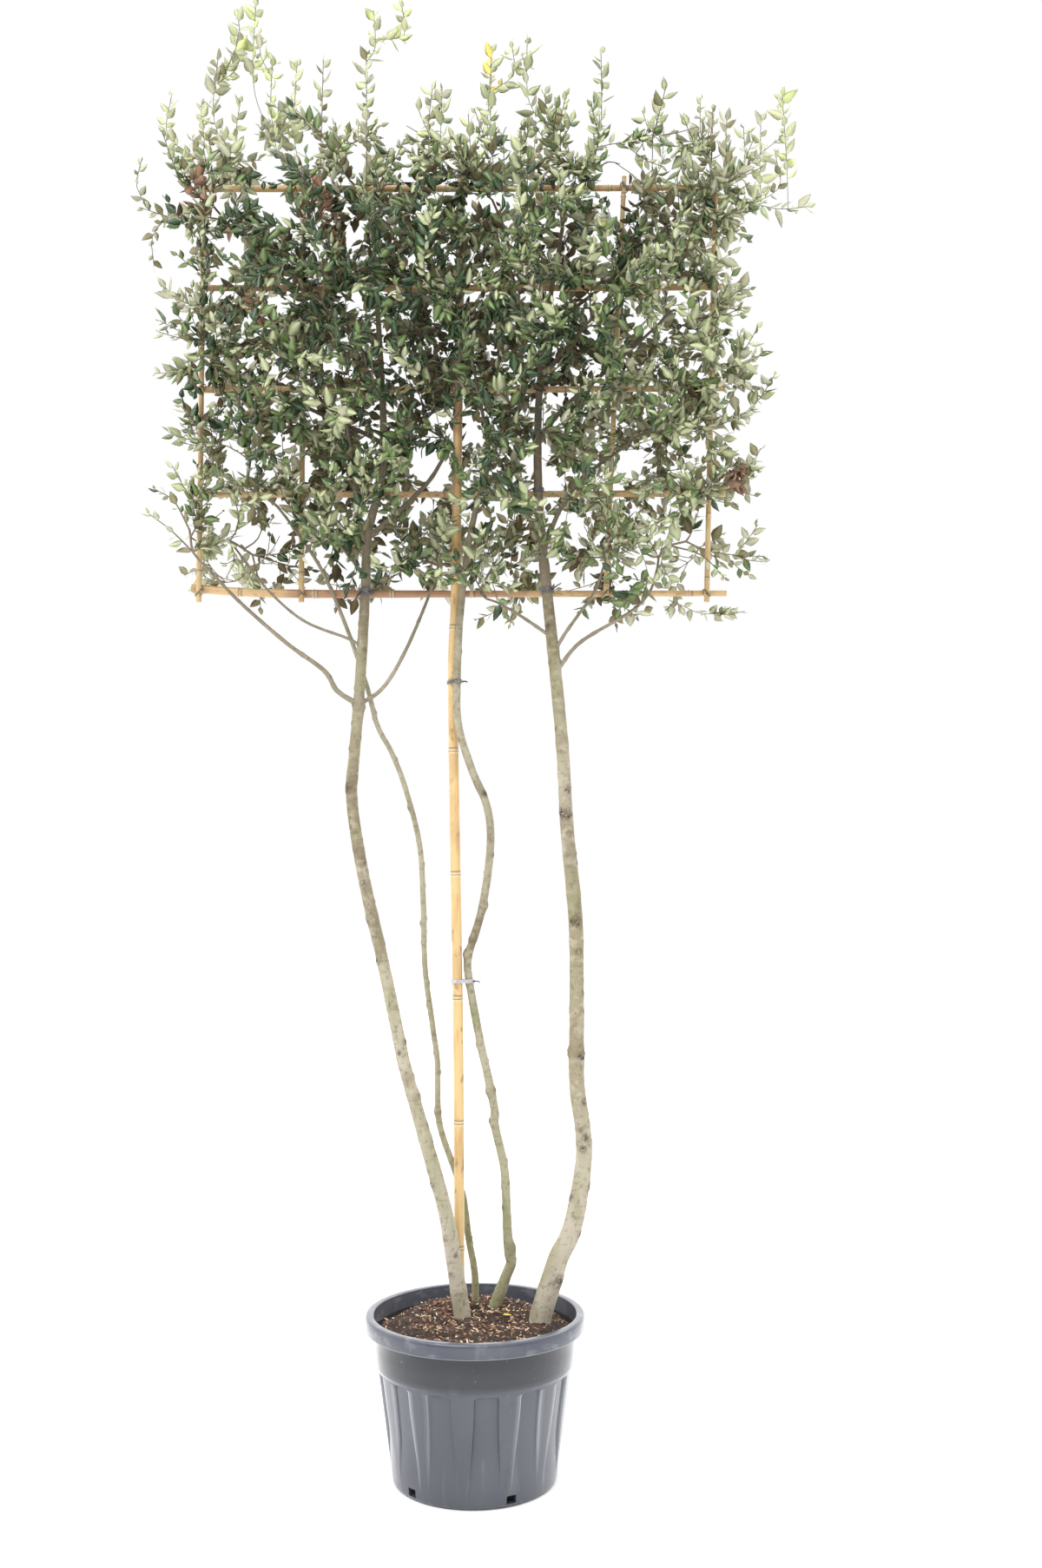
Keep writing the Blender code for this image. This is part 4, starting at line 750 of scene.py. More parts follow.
def chainsToTubes(name, chains, sides, material, relief=0.0, grain=60.0, closed=False, marks=None):
    # chains is a list of (path, radii), and marks has named values for every point
    vertices, edges, girths = [], [], []
    for path, radii in chains:
        first = len(vertices)
        vertices += path
        girths += radii
        edges += [(first + i, first + i + 1) for i in range(len(path) - 1)]
        if closed:
            edges.append((first + len(path) - 1, first))
    made = meshObject(name, vertices, [], edges)
    setAttribute(made.data, "girth", "FLOAT", girths)
    for label, values in (marks or {}).items():
        setAttribute(made.data, label, "FLOAT", values)
    runTree(made, tubeTree, {"Sides": sides, "Relief": relief, "Grain": grain, "Material": material})
    outwardFaces(made)
    return made


def knottedRadii(path, taper, dice, spacing, swell, length):
    # the limb's taper with a swelling at each old node
    run = runAlong(path)
    nodes, at = [], spacing * dice.uniform(0.3, 1.0)
    while at < run[-1] - spacing * 0.3:
        nodes.append((at, swell * dice.uniform(0.35, 1.0)))
        at += spacing * dice.uniform(0.5, 1.7)
    radii = []
    for here in run:
        bulge = sum(s * math.exp(-((here - at) / length) ** 2) for at, s in nodes)
        radii.append(girthAt(taper, here / run[-1]) * (1 + bulge))
    return radii


def raiseKnots(thing, knots, stretches):
    # a scar is a ring that stands proud round a dark sunk middle, with a stain round it
    dark = [0.0] * len(thing.data.vertices)
    stain = [0.0] * len(thing.data.vertices)
    for place, outwards, size, style in knots:
        sideways = outwards.cross(Vector((0, 0, 1))).normalized()
        for vertex in thing.data.vertices:
            apart = vertex.co - place
            reach = apart.length / size
            if reach > 4:
                continue
            k = vertex.index
            stain[k] = min(1.0, stain[k] + 0.45 * math.exp(-(reach / 1.3) ** 2))
            ring, pit = math.exp(-reach ** 2), math.exp(-(reach / 0.45) ** 2)
            rim = math.exp(-((reach - 0.75) / 0.25) ** 2)
            if style == 1:
                vertex.co += outwards * size * (0.62 * ring - 0.12 * pit)
                dark[k] = min(1.0, dark[k] + 0.6 * pit)
                continue
            weak = 0.6 if style == 2 else 1.0
            vertex.co += outwards * size * (0.42 * ring - 0.40 * pit) * weak
            dark[k] = min(1.0, dark[k] + weak * (1.3 * pit + 0.45 * rim))
            if style == 2:
                u, v = apart.dot(sideways) / size, apart.z / size
                crease = math.exp(-((v + 0.75 - 0.75 * abs(u)) / 0.16) ** 2) * (1 - easeStep(0.9, 1.3, abs(u)))
                vertex.co += outwards * size * (0.16 * math.exp(-((v + 0.45 - 0.75 * abs(u)) / 0.3) ** 2)
                                                - 0.14 * crease)
                dark[k] = min(1.0, dark[k] + crease)
    for low, high, amount in stretches:
        for k, vertex in enumerate(thing.data.vertices):
            inside = easeStep(low - 0.05, low + 0.03, vertex.co.z) * (1 - easeStep(high - 0.03, high + 0.06, vertex.co.z))
            stain[k] = max(stain[k], amount * inside)
    setAttribute(thing.data, "scar", "FLOAT", dark)
    setAttribute(thing.data, "stain", "FLOAT", stain)


def knotsOn(name, path, radii, dice):
    # the named scars, and small buds or lenticel bumps between them
    found = []
    for height, side, size, style in stemKnots[name]:
        i = min(range(len(path)), key=lambda k: abs(path[k].z - height))
        turn = math.radians(side)
        outwards = Vector((math.sin(turn), -math.cos(turn), 0.15)).normalized()
        found.append((path[i] + outwards * radii[i] * 0.95, outwards, radii[i] * size, style))
    at, run = limbLook["budSpacing"], runAlong(path)
    while at < run[-1]:
        i = min(range(len(run)), key=lambda k: abs(run[k] - at))
        turn = dice.uniform(0, 2 * math.pi)
        outwards = Vector((math.cos(turn), math.sin(turn), 0.2)).normalized()
        found.append((path[i] + outwards * radii[i] * 0.97, outwards, dice.uniform(0.0030, 0.0060), 1))
        at += limbLook["budSpacing"] * dice.uniform(0.4, 1.4)
    return found


limbs = {}  # name: (path, radii)


def makeStems():
    dice = random.Random(limbLook["seed"])
    for name, (taper, points) in stemPaths.items():
        path = smoothPath(points, limbLook["stemStep"])
        radii = knottedRadii(path, taper, dice, limbLook["knotSpacing"], limbLook["knotSwell"],
                             limbLook["knotLength"])
        path[0] = path[0] - Vector((0, 0, 0.012))
        limbs[name] = (path, radii)
        slim = name in ("stem_thin", "stem_middle")
        piece = chainsToTubes(name.replace("_", "") + "Bark", [(path, radii)],
                              22 if slim else limbLook["stemSides"],
                              materials["greenBark" if slim else "greyBark"],
                              limbLook["stemRelief"] * (0.7 if slim else 1.0), limbLook["stemGrain"])
        raiseKnots(piece, knotsOn(name, path, radii, dice), stainedStretches.get(name, ()))
        keep(piece, [name], "stem_bark")


def makeBoughs():
    dice = random.Random(limbLook["seed"] + 1)
    for name, (taper, points) in boughPaths.items():
        path = smoothPath(points, limbLook["boughStep"])
        radii = knottedRadii(path, taper, dice, 0.06, 0.25, 0.007)
        limbs[name] = (path, [limbLook["boughGirth"] * r for r in radii])
    boughs = chainsToTubes("boughBark", [limbs[name] for name in boughPaths], limbLook["boughSides"],
                           materials["twigBark"], limbLook["boughRelief"], limbLook["boughGrain"])
    keep(boughs, list(boughPaths), "bough_bark")


makeStems()
makeBoughs()
print("limbs made:", len(limbs))


# cane rack
rack = {
    "barY": 0.012, "barRadius": 0.0100, "barEnds": (-0.829, 0.725),
    "barHeights": (2.481, 2.775, 3.088, 3.394, 3.697),
    "postRadius": 0.0080, "postLips": 0.027,
    "posts": {"rack_post_far_left": (-0.804, -0.808), "rack_post_left": (-0.507, -0.514),
              "rack_post_right": (0.372, 0.433), "rack_post_far_right": (0.665, 0.703)},
    "poleRadius": 0.0138, "poleGirths": ((0.0, 1.08), (0.5, 1.03), (1.0, 0.92)),
    "polePath": ((-0.047, 0.062, 0.4303), (-0.051, 0.035, 1.180), (-0.068, -0.003, 2.180),
                 (-0.061, -0.0145, 2.480), (-0.055, -0.0145, 3.080), (-0.048, -0.0145, 3.735)),
    # share along the bar, rise above its height, radius, thick end first
    "levelBar": ((0.0, 0.0, 0.0100), (0.55, 0.0, 0.0093), (1.0, 0.004, 0.0088)),
    "lowestBar": ((0.0, 0.017, 0.0125), (0.16, 0.002, 0.0128), (0.55, 0.0, 0.0098), (1.0, 0.002, 0.0085)),
    "barJoint": 0.21, "postJoint": 0.17, "poleJoint": 0.354, "seed": 5,
}


def caneChain(points, girths, jointEvery, dice, firstJoint=None):
    # a cane with a ring at each joint
    path = smoothPath(points, 0.02)
    run = runAlong(path)
    joints, at = [], firstJoint or jointEvery * dice.uniform(0.25, 0.9)
    while at < run[-1] - 0.03:
        joints.append(at)
        at += jointEvery * (1.0 if firstJoint else dice.uniform(0.85, 1.12))
    marks = set(run)
    for at in joints:
        marks |= {at + step for step in (-0.016, -0.008, -0.0045, -0.0022, 0, 0.0022, 0.0045, 0.009, 0.013, 0.018)}
    marks = sorted(m for m in marks if 0 <= m <= run[-1])
    chain, radii, lines, bands = [], [], [], []
    for m in marks:
        i = next(k for k in range(len(run) - 1) if m <= run[k + 1] or k == len(run) - 2)
        chain.append(path[i].lerp(path[i + 1], (m - run[i]) / (run[i + 1] - run[i])))
        radius = girthAt(girths, m / run[-1])
        past = min((m - at for at in joints), key=abs, default=1.0)
        radii.append(radius * (1 + (0.10 if abs(past) < 0.001 else 0.05 if abs(past) < 0.003 else
                                    0.02 if abs(past) < 0.010 else 0.0)))
        lines.append(1.0 if abs(past) < 0.001 else 0.9 if 0.008 < past < 0.010 else 0.0)
        bands.append(1.0 if 0.001 < past < 0.008 or -0.005 < past < -0.001 else 0.0)
    joined = [(chain[marks.index(at)], chain[marks.index(at) + 1]) for at in joints]
    return chain, radii, joined, {"jointLine": lines, "jointBand": bands}


def makeRack():
    dice = random.Random(rack["seed"])
    rings = []
    left, right = rack["barEnds"]
    for number, z in enumerate(rack["barHeights"], start=1):
        shape = rack["lowestBar" if number == 1 else "levelBar"]
        points = [Vector((left + (right - left) * s, rack["barY"] + max(0, girth - rack["barRadius"]), z + rise))
                  for s, rise, girth in shape]
        girths = [(s, girth) for s, _, girth in shape]
        if number % 2 == 0:
            points.reverse()
        chain, radii, joints, marks = caneChain(points, girths, rack["barJoint"], dice)
        rings += [(a, b, girthAt(girths, 0.5)) for a, b in joints]
        keep(chainsToTubes(f"caneBar{number}", [(chain, radii)], 16, materials["caneBar"], 0.0003, 30.0,
                           marks=marks), [f"rack_bar_{number}"], "cane")
    postY = rack["barY"] - rack["barRadius"] - rack["postRadius"] - 0.0003
    for node, (lowX, highX) in rack["posts"].items():
        low = Vector((lowX, postY, rack["barHeights"][0] - rack["postLips"]))
        high = Vector((highX, postY, rack["barHeights"][-1] + rack["postLips"]))
        girths = ((0.0, rack["postRadius"]), (1.0, 0.85 * rack["postRadius"]))
        chain, radii, joints, marks = caneChain((low, high), girths, rack["postJoint"], dice)
        rings += [(a, b, 0.0080) for a, b in joints]
        keep(chainsToTubes("canePost" + node.split("post_")[1].title().replace("_", ""),
                           [(chain, radii)], 14, materials["canePost"], 0.0003, 30.0, marks=marks),
             [node], "cane")
    girths = [(share, girth * rack["poleRadius"]) for share, girth in rack["poleGirths"]]
    chain, radii, joints, marks = caneChain([Vector(p) for p in rack["polePath"]], girths,
                                            rack["poleJoint"], dice, 0.176)
    rings += [(a, b, 0.0140) for a, b in joints]
    keep(chainsToTubes("canePole", [(chain, radii)], 24, materials["cane"], 0.0004, 30.0, marks=marks),
         ["rack_pole"], "cane")
    bands = []
    for place, ahead, radius in rings:
        way = (ahead - place).normalized()
        bands.append(([place + way * d for d in (-0.0016, -0.0008, 0.0008, 0.0016)],
                      [radius * f for f in (1.02, 1.09, 1.09, 1.02)]))
    keep(chainsToTubes("caneJoints", bands, 18, materials["caneJoint"]), [], "cane")


makeRack()
print("rack made")


# ties
ties = {"wire": 0.0010, "softStrand": 0.0021, "tail": 0.016, "seed": 9}


# limb, height, strands, strand radius, tails as (side in radii, then sideways and up in metres)
barTies = (
    ("stem_left", 2.480, 5, 0.0022, ((-0.7, -0.016, -0.024), (0.8, 0.016, -0.006))),
    ("pole", 2.535, 4, 0.0022, ((-0.8, -0.012, 0.010),)),
    ("stem_right", 2.484, 4, 0.0020, ((0.9, 0.026, 0.018), (0.6, 0.010, 0.012))),
    ("stem_right", 2.585, 1, 0.0016, ()),
    ("stem_left", 2.782, 3, 0.0018, ((0.8, 0.016, 0.006),)),
    ("stem_right", 2.780, 3, 0.0018, ((-0.8, -0.018, -0.008),)),
)


def loopRound(centre, across, along, halfAcross, halfAlong, squareness=3.0, steps=28):
    points = []
    for k in range(steps):
        turn = 2 * math.pi * k / steps
        c, s = math.cos(turn), math.sin(turn)
        reach = (abs(c) ** squareness + abs(s) ** squareness) ** (-1 / squareness)
        points.append(centre + across * (halfAcross * c * reach) + along * (halfAlong * s * reach))
    return points


def makeTies():
    dice = random.Random(ties["seed"])
    wire = ties["wire"]
    loops, tails = [], []
    deep = Vector((0, 1, 0))
    for lowX, highX in rack["posts"].values():
        for z in rack["barHeights"]:
            share = (z - rack["barHeights"][0]) / (rack["barHeights"][-1] - rack["barHeights"][0])
            x = lowX + (highX - lowX) * share
            lean = dice.choice((-1, 1))
            across = Vector((lean, 0, 1)).normalized()
            centre = Vector((x, 0.0040, z))
            for shift in (-1, 1):
                place = centre + Vector((1, 0, -lean)).normalized() * shift * wire * 1.3
                ring = loopRound(place, across, deep, 0.0142, 0.0196)
                loops.append((ring, [wire] * len(ring)))
            knot = centre + Vector((0.004 * lean, -0.0200, -0.003))
            tip = knot + Vector((dice.uniform(-0.6, 0.6), -0.35, dice.uniform(-1, 0.4))) * ties["tail"]
            tails.append(([knot, knot.lerp(tip, 0.5) + Vector((0.002, 0, 0.001)), tip],
                          [wire * 1.6, wire, wire * 0.8]))
    keep(chainsToTubes("wireTies", loops, 8, materials["tie"], closed=True), [], "tie")
    keep(chainsToTubes("wireTails", tails, 8, materials["tieTail"]), [], "tie")
    ends = []
    for node, look in (("tie_low", "paleTie"), ("tie_high", "tie")):
        strands = []
        low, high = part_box(node)
        middle, half = (low + high) / 2, (high - low) / 2
        solid = frame["nodes"][node].data
        ring = sorted({(round(v.co.x, 5), round(v.co.y, 5)) for v in solid.vertices},
                      key=lambda p: math.atan2(p[1] - middle.y, p[0] - middle.x))
        outer = [p for p in ring if isOuter(p, ring, middle)]
        for lift in (-0.0034, 0.0, 0.0034):
            thick = ties["softStrand"]
            path = [Vector((middle.x + (x - middle.x) * 0.985, middle.y + (y - middle.y) * 0.985,
                            middle.z + lift)) for x, y in outer]
            strands.append((path, [thick] * len(path)))
        knot = Vector((high.x, middle.y - 0.25 * half.y, middle.z))
        tip = knot + Vector((0.017, -0.006, -0.002))
        ends.append(([knot - Vector((0.004, 0, 0)), knot.lerp(tip, 0.6) + Vector((0, 0, 0.002)), tip],
                     [0.0026, 0.0022, 0.0016]))
        keep(chainsToTubes("soft" + node.title().replace("_", ""), strands, 10, materials[look], closed=True),
             [node], "tie")
    keep(chainsToTubes("softTieEnds", ends, 10, materials["tieTail"]), [], "tie")


def limbAt(path, radii, z):
    i = min(range(len(path)), key=lambda k: abs(path[k].z - z))
    return path[i], radii[i]


def roundBoth(first, second, grow, steps=32):
    # the outline of two discs side by side in a level plane, as a drawn-up cord follows it
    points = []
    for k in range(steps):
        turn = 2 * math.pi * k / steps
        out = Vector((math.cos(turn), math.sin(turn), 0))
        centre, radius = max((first, second), key=lambda disc: disc[0].dot(out) + disc[1])
        points.append(centre + out * (radius + grow))
    return points


def makeBarTies():
    # strands round a stem, or round the pole, and the lowest bar behind it
    low = rack["barHeights"][0]
    poleZ = [p[2] for p in rack["polePath"]]
    loops, tails = [], []
    for name, z, strands, girth, tails2 in barTies:
        if name == "pole":
            points = [Vector(p) for p in rack["polePath"]]
            i = next(k for k in range(len(poleZ) - 1) if z <= poleZ[k + 1])
            place = points[i].lerp(points[i + 1], (z - poleZ[i]) / (poleZ[i + 1] - poleZ[i]))
            radius = 0.97 * rack["poleRadius"]
        else:
            place, radius = limbAt(*limbs[name], z)
            radius = 1.05 * radius
        for k in range(strands):
            lift = (k - (strands - 1) / 2) * 2.1 * girth
            centre = Vector((place.x, place.y, z + lift))
            around = [(centre, radius)]
            if abs(z - low) < 0.03:
                back = Vector((place.x + 0.3 * radius, rack["barY"] + rack["barRadius"], z + lift))
                around.append((back, 0.003))
            loops.append((roundBoth(around[0], around[-1], girth), [girth] * 32))
        for sideX, dx, dz in tails2:
            knot = Vector((place.x + sideX * radius, place.y - 0.75 * radius - girth, z))
            tip = knot + Vector((dx, -0.006, dz))
            tails.append(([knot, knot.lerp(tip, 0.5) + Vector((0, -0.002, 0.0015)), tip], [girth, girth, 0.8 * girth]))
    keep(chainsToTubes("barTies", loops, 8, materials["tie"], closed=True), [], "tie")
    keep(chainsToTubes("barTieTails", tails, 8, materials["tieTail"]), [], "tie")


def isOuter(point, ring, middle):
    # the farther of the two solid corners that lie the same way from the middle
    here = Vector((point[0] - middle.x, point[1] - middle.y))
    for other in ring:
        there = Vector((other[0] - middle.x, other[1] - middle.y))
        if there.length > here.length + 0.0004 and here.normalized().dot(there.normalized()) > 0.999:
            return False
    return True


makeTies()
makeBarTies()
print("ties made")


# pot
potShape = {
    "height": 0.449, "rimRadius": 0.305, "rimOpening": 0.283, "rimSkirt": 0.041,
    "collarTop": 0.2815, "collarRadius": 0.2750, "collarFoot": 0.318, "chamferFoot": 0.306, "bodyTop": 0.2693,
    "bodyFoot": 0.2277, "footRadius": 0.221, "footRound": 0.012, "wall": 0.004, "flutes": 13,
    "fluteDepth": 0.0080, "fluteEdge": 0.0045, "fluteSpread": 0.44,
    "fluteTurn": math.radians(22.2), "drainHoles": 5, "drainWidth": 0.028, "drainHeight": 0.022,
    "drainDepth": 0.030, "drainZ": 0.021, "drainTurn": math.radians(-45.3),
}


def spreadShare(share, spread):
    # recesses, from 0 to 0.5 of each period, get wider by the spread, and the ribs narrower
    whole, part = divmod(share, 1.0)
    if part < 0.5:
        return whole + 0.25 + (part - 0.25) * spread
    return whole + 0.75 + (part - 0.75) * (2 - spread)


def makePot():
    p = potShape
    slope = (p["bodyTop"] - p["bodyFoot"]) / (p["chamferFoot"] - p["footRound"])
    skirtZ, top = p["height"] - p["rimSkirt"], p["height"]

    def bodyAt(z):
        return p["bodyFoot"] + slope * (z - p["footRound"])

    inner = p["collarRadius"] - p["wall"]
    rings = [(0.205, 0.0), (0.214, 0.0), (0.2185, 0.0008), (0.2225, 0.003), (0.2255, 0.0065), (0.2272, 0.0095)]
    rings += [(bodyAt(z), z) for z in [0.012 + 0.006 * i for i in range(45)]]
    rings += [(bodyAt(z), z) for z in (0.280, 0.284, 0.287, 0.290, 0.2925, 0.295, 0.2975, 0.300, 0.303, 0.306)]
    rings += [(0.2709, 0.309), (0.2729, 0.3125), (0.2743, 0.3155), (p["collarRadius"], p["collarFoot"]),
              (0.5 * (p["collarRadius"] + p["collarTop"]), 0.363), (p["collarTop"], skirtZ - 0.002),
              (p["collarTop"] + 0.001, skirtZ), (0.3015, skirtZ), (0.3043, skirtZ + 0.0008),
              (0.3056, skirtZ + 0.003), (0.3064, 0.434), (p["rimRadius"] + 0.001, 0.4405),
              (0.3052, 0.4435), (0.3037, 0.4465), (0.3012, 0.4483), (0.2980, top), (0.2890, top),
              (0.2855, top - 0.0004), (p["rimOpening"], top - 0.0025), (0.2818, top - 0.0095), (0.2798, 0.422),
              (0.2787, skirtZ), (0.2780, 0.400), (inner + 0.004, 0.375)]
    # each side of a rib has a narrow rounded step, with the panels between them in a few strips
    halfEdge = 0.5 * p["fluteEdge"] / p["bodyTop"]
    period = 2 * math.pi / p["flutes"]
    shares = []
    for k in range(2):
        steps = [-1.9, -1.0, -0.6, -0.2, 0.2, 0.6, 1.0, 1.9]
        shares += [0.5 * k + s * halfEdge / period for s in steps]
        shares += [0.5 * k + 1.9 * halfEdge / period + (0.5 - 3.8 * halfEdge / period) * i / 4 for i in (1, 2, 3)]
    vertices, faces, wornAndLit, shaded = [], [], [], []
    sides = len(shares) * p["flutes"]
    for number, (radius, z) in enumerate(rings):
        shown = easeStep(0.02, 0.17, z) if z < 0.305 else 0.0
        spread = 1 + p["fluteSpread"] * (1 - easeStep(0.03, 0.27, z))
        for flute in range(p["flutes"]):
            for share in shares:
                fromMiddle = abs((share + 0.25) % 1.0 - 0.5)  # 0 in a recess's middle, 0.25 at its edge
                into = (0.25 - fromMiddle) * period
                arch = 0.3035 - 0.004 * min(1.0, 4 * fromMiddle) ** 4
                depth = p["fluteDepth"] * easeStep(-halfEdge, halfEdge, into) * shown
                depth *= 1 - easeStep(arch - 0.006, arch, z)
                turn = period * (flute + spreadShare(share, spread)) + p["fluteTurn"]
                vertices.append(((radius - depth) * math.cos(turn), (radius - depth) * math.sin(turn), z))
                # painted highlight on the steps that face away sideways, and painted shade as thin dark lines on the
                # others
                corner = math.exp(-((into / halfEdge + 0.6) / 1.15) ** 2)
                firstEdge = abs((share + 0.5) % 1.0 - 0.5) < 0.25
                away = math.sin(2 * turn) * (-0.5 if firstEdge else 0.5)
                sidelong = easeStep(0.28, 0.60, abs(math.cos(turn))) * (1.0 if away > 0 else 0.45)
                # a light line along the rim's lower lip, partly wear and partly painted highlight, and a faint painted
                # reflection on the inside of the rim
                lip = 0.45 if skirtZ < z < skirtZ + 0.002 and radius > 0.3 else 0.0
                lip = max(lip, 0.05 * (number > len(rings) - 6))
                below = 1 - easeStep(0.296, 0.303, z)
                wornAndLit.append(lip + corner * shown * sidelong * below)
                shaded.append(math.exp(-((into / halfEdge - 0.8) / 0.8) ** 2) * shown * below * (away < 0.05))
    for ring in range(len(rings) - 1):
        for k in range(sides):
            a, b = ring * sides + k, ring * sides + (k + 1) % sides
            faces.append((a, b, b + sides, a + sides))
    faces.append(tuple(reversed(range(sides))))
    last = (len(rings) - 1) * sides
    faces.append(tuple(range(last, last + sides)))
    made = meshObject("potShell", vertices, faces)
    setAttribute(made.data, "wearAndHighlight", "FLOAT", wornAndLit)
    setAttribute(made.data, "shade", "FLOAT", shaded)
    outwardFaces(made)
    boxes = []
    for hole in range(p["drainHoles"]):
        turn = p["drainTurn"] - math.pi / 2 + 2 * math.pi * hole / p["drainHoles"]
        place = Matrix.Rotation(turn, 4, "Z") @ Matrix.Translation((p["footRadius"], 0, p["drainZ"]))
        boxes.append(place @ Matrix.Diagonal((p["drainDepth"], p["drainWidth"], p["drainHeight"], 1)))
    form = bmesh.new()
    for place in boxes:
        bmesh.ops.create_cube(form, size=1.0, matrix=place)
    cutter = meshObject("drainCutter", [], [])
    form.to_mesh(cutter.data)
    form.free()
    cut = made.modifiers.new("drain", "BOOLEAN")
    cut.operation = "DIFFERENCE"
    cut.solver = "EXACT"
    cut.object = cutter
    plainMesh(made)
    bpy.data.objects.remove(cutter, do_unlink=True)
    made.data.shade_smooth()
    made.data.set_sharp_from_angle(angle=math.radians(32))
    made.data.materials.clear()
    made.data.materials.append(materials["pot"])
    made.data.materials.append(materials["soil"])
    for face in made.data.polygons:
        x, y, z = face.center
        if 0.008 < z < 0.036 and 0.15 < math.hypot(x, y) < p["footRadius"] - 0.008:
            face.material_index = 1
    return keep(made, ["pot"], "pot_plastic")


makePot()
print("pot made")


# bark mix
bed = {"radius": 0.2755, "edge": 0.392, "top": 0.428, "mound": 0.226, "rings": 38, "sides": 120,
       "lumps": 0.014, "crumbs": 0.006, "backRise": 0.028,
       "chipDensity": {"Dark": 4600.0, "Brown": 5200.0, "Pale": 3200.0}, "chipLength": 0.0175}


def makeBed():
    vertices, faces = [Vector((0, 0, bed["top"]))], []
    sides = bed["sides"]
    for i in range(1, bed["rings"] + 1):
        radius = bed["radius"] * (i / bed["rings"]) ** 0.9
        fall = easeStep(bed["mound"] * 0.75, bed["radius"], radius)
        for k in range(sides):
            turn = 2 * math.pi * k / sides
            x, y = radius * math.cos(turn), radius * math.sin(turn)
            rough = noise.noise(Vector((x * 17, y * 17, 2))) * bed["lumps"]
            rough += noise.noise(Vector((x * 75, y * 75, 5))) * bed["crumbs"]
            rough += bed["backRise"] * y / bed["radius"]
            z = bed["top"] - (bed["top"] - bed["edge"]) * fall + rough * (1 - 0.45 * fall)
            vertices.append(Vector((x, y, z)))
    last = 1 + (bed["rings"] - 1) * sides
    for k in range(sides):
        faces.append((0, 1 + k, 1 + (k + 1) % sides))
        for i in range(bed["rings"] - 1):
            a, b = 1 + i * sides + k, 1 + i * sides + (k + 1) % sides
            faces.append((a, a + sides, b + sides, b))
    top = meshObject("chipGround", [Vector((0.975 * v.x, 0.975 * v.y, v.z)) for v in vertices], faces)
    below = [Vector((v.x, v.y, 0.376)) for v in vertices[last:]]
    solidFaces = list(faces)
    first = len(vertices)
    for k in range(sides):
        a, b = last + k, last + (k + 1) % sides
        solidFaces.append((a, first + k, first + (k + 1) % sides, b))
    solidFaces.append(tuple(first + k for k in range(sides)))
    made = meshObject("barkBed", vertices + below, solidFaces)
    outwardFaces(made)
    made.data.shade_smooth()
    made.data.materials.append(materials["soil"])
    keep(made, ["soil"], "bark_mix")
    patterns = bpy.data.collections.new("chipPatterns")
    dice = random.Random(21)
    for i in range(6):
        length = bed["chipLength"] * dice.uniform(0.6, 1.7)
        width, thick = length * dice.uniform(0.14, 0.45), length * dice.uniform(0.08, 0.20)
        corners = []
        for z in (-1, 1):
            for k in range(6):
                turn = 2 * math.pi * k / 6 + dice.uniform(-0.3, 0.3)
                reach = dice.uniform(0.75, 1.05) * (1.0 if z < 0 else 0.85)
                corners.append((reach * length / 2 * math.cos(turn), reach * width / 2 * math.sin(turn),
                                z * thick / 2 * dice.uniform(0.6, 1.2)))
        sidesOf = [(k, (k + 1) % 6, 6 + (k + 1) % 6, 6 + k) for k in range(6)]
        chip = meshObject(f"chipPattern{i}", corners, [tuple(range(5, -1, -1)), tuple(range(6, 12)), *sidesOf])
        scene.collection.objects.unlink(chip)
        patterns.objects.link(chip)
    for number, (label, density) in enumerate(bed["chipDensity"].items()):
        bits = bpy.data.objects.new("chips" + label, top.data.copy())
        scene.collection.objects.link(bits)
        runTree(bits, scatterTree, {"Patterns": patterns, "Density": density, "Smallest": 0.45,
                                    "Largest": 1.55 if label != "Pale" else 1.2, "Seed": 40 + number,
                                    "Material": materials["chip" + label]})
        keep(bits, [], "bark_mix")
    bpy.data.objects.remove(top, do_unlink=True)
    for chip in list(patterns.objects):
        bpy.data.objects.remove(chip, do_unlink=True)
    bpy.data.collections.remove(patterns)


makeBed()
print("bark bed made")


# crown
masses = {
    "leaves_low_far_left": ("bough_low_far_left", (-0.84, 2.69)),
    "leaves_low_left": ("bough_low_left", (-0.63, 2.58)),
    "leaves_low_mid_left": ("bough_low_mid_left", (-0.41, 2.68)),
    "leaves_low_centre_left": ("bough_low_centre_left", (-0.17, 2.58)),
    "leaves_low_centre_right": ("bough_low_centre_right", (0.06, 2.59)),
    "leaves_low_right": ("bough_low_right", (0.35, 2.60)),
    "leaves_low_far_right": ("bough_low_far_right", (0.63, 2.64)),
    "leaves_mid_far_left": ("stem_thin", (-0.66, 2.90)),
    "leaves_mid_left": ("bough_mid_left", (-0.42, 3.04)),
    "leaves_mid_centre_left": ("bough_mid_centre_left", (-0.15, 2.97)),
    "leaves_mid_right": ("bough_mid_right", (0.12, 2.87)),
    "leaves_mid_far_right": ("bough_mid_far_right", (0.56, 2.95)),
    "leaves_high_far_left": ("bough_mid_far_left", (-0.80, 3.22)),
    "leaves_high_left": ("bough_high_left", (-0.46, 3.37)),
    "leaves_high_centre": ("bough_centre", (-0.08, 3.30)),
    "leaves_high_right": ("bough_high_right", (0.33, 3.34)),
    "leaves_high_far_right": ("bough_high_far_right", (0.67, 3.29)),
    "leaves_top_far_left": ("bough_top_far_left", (-0.80, 3.66)),
    "leaves_top_left": ("stem_left", (-0.40, 3.74)),
    "leaves_top_centre": ("stem_middle", (0.03, 3.69)),
    "leaves_top_right": ("stem_right", (0.36, 3.77)),
    "leaves_top_far_right": ("bough_top_far_right", (0.71, 3.70)),
}
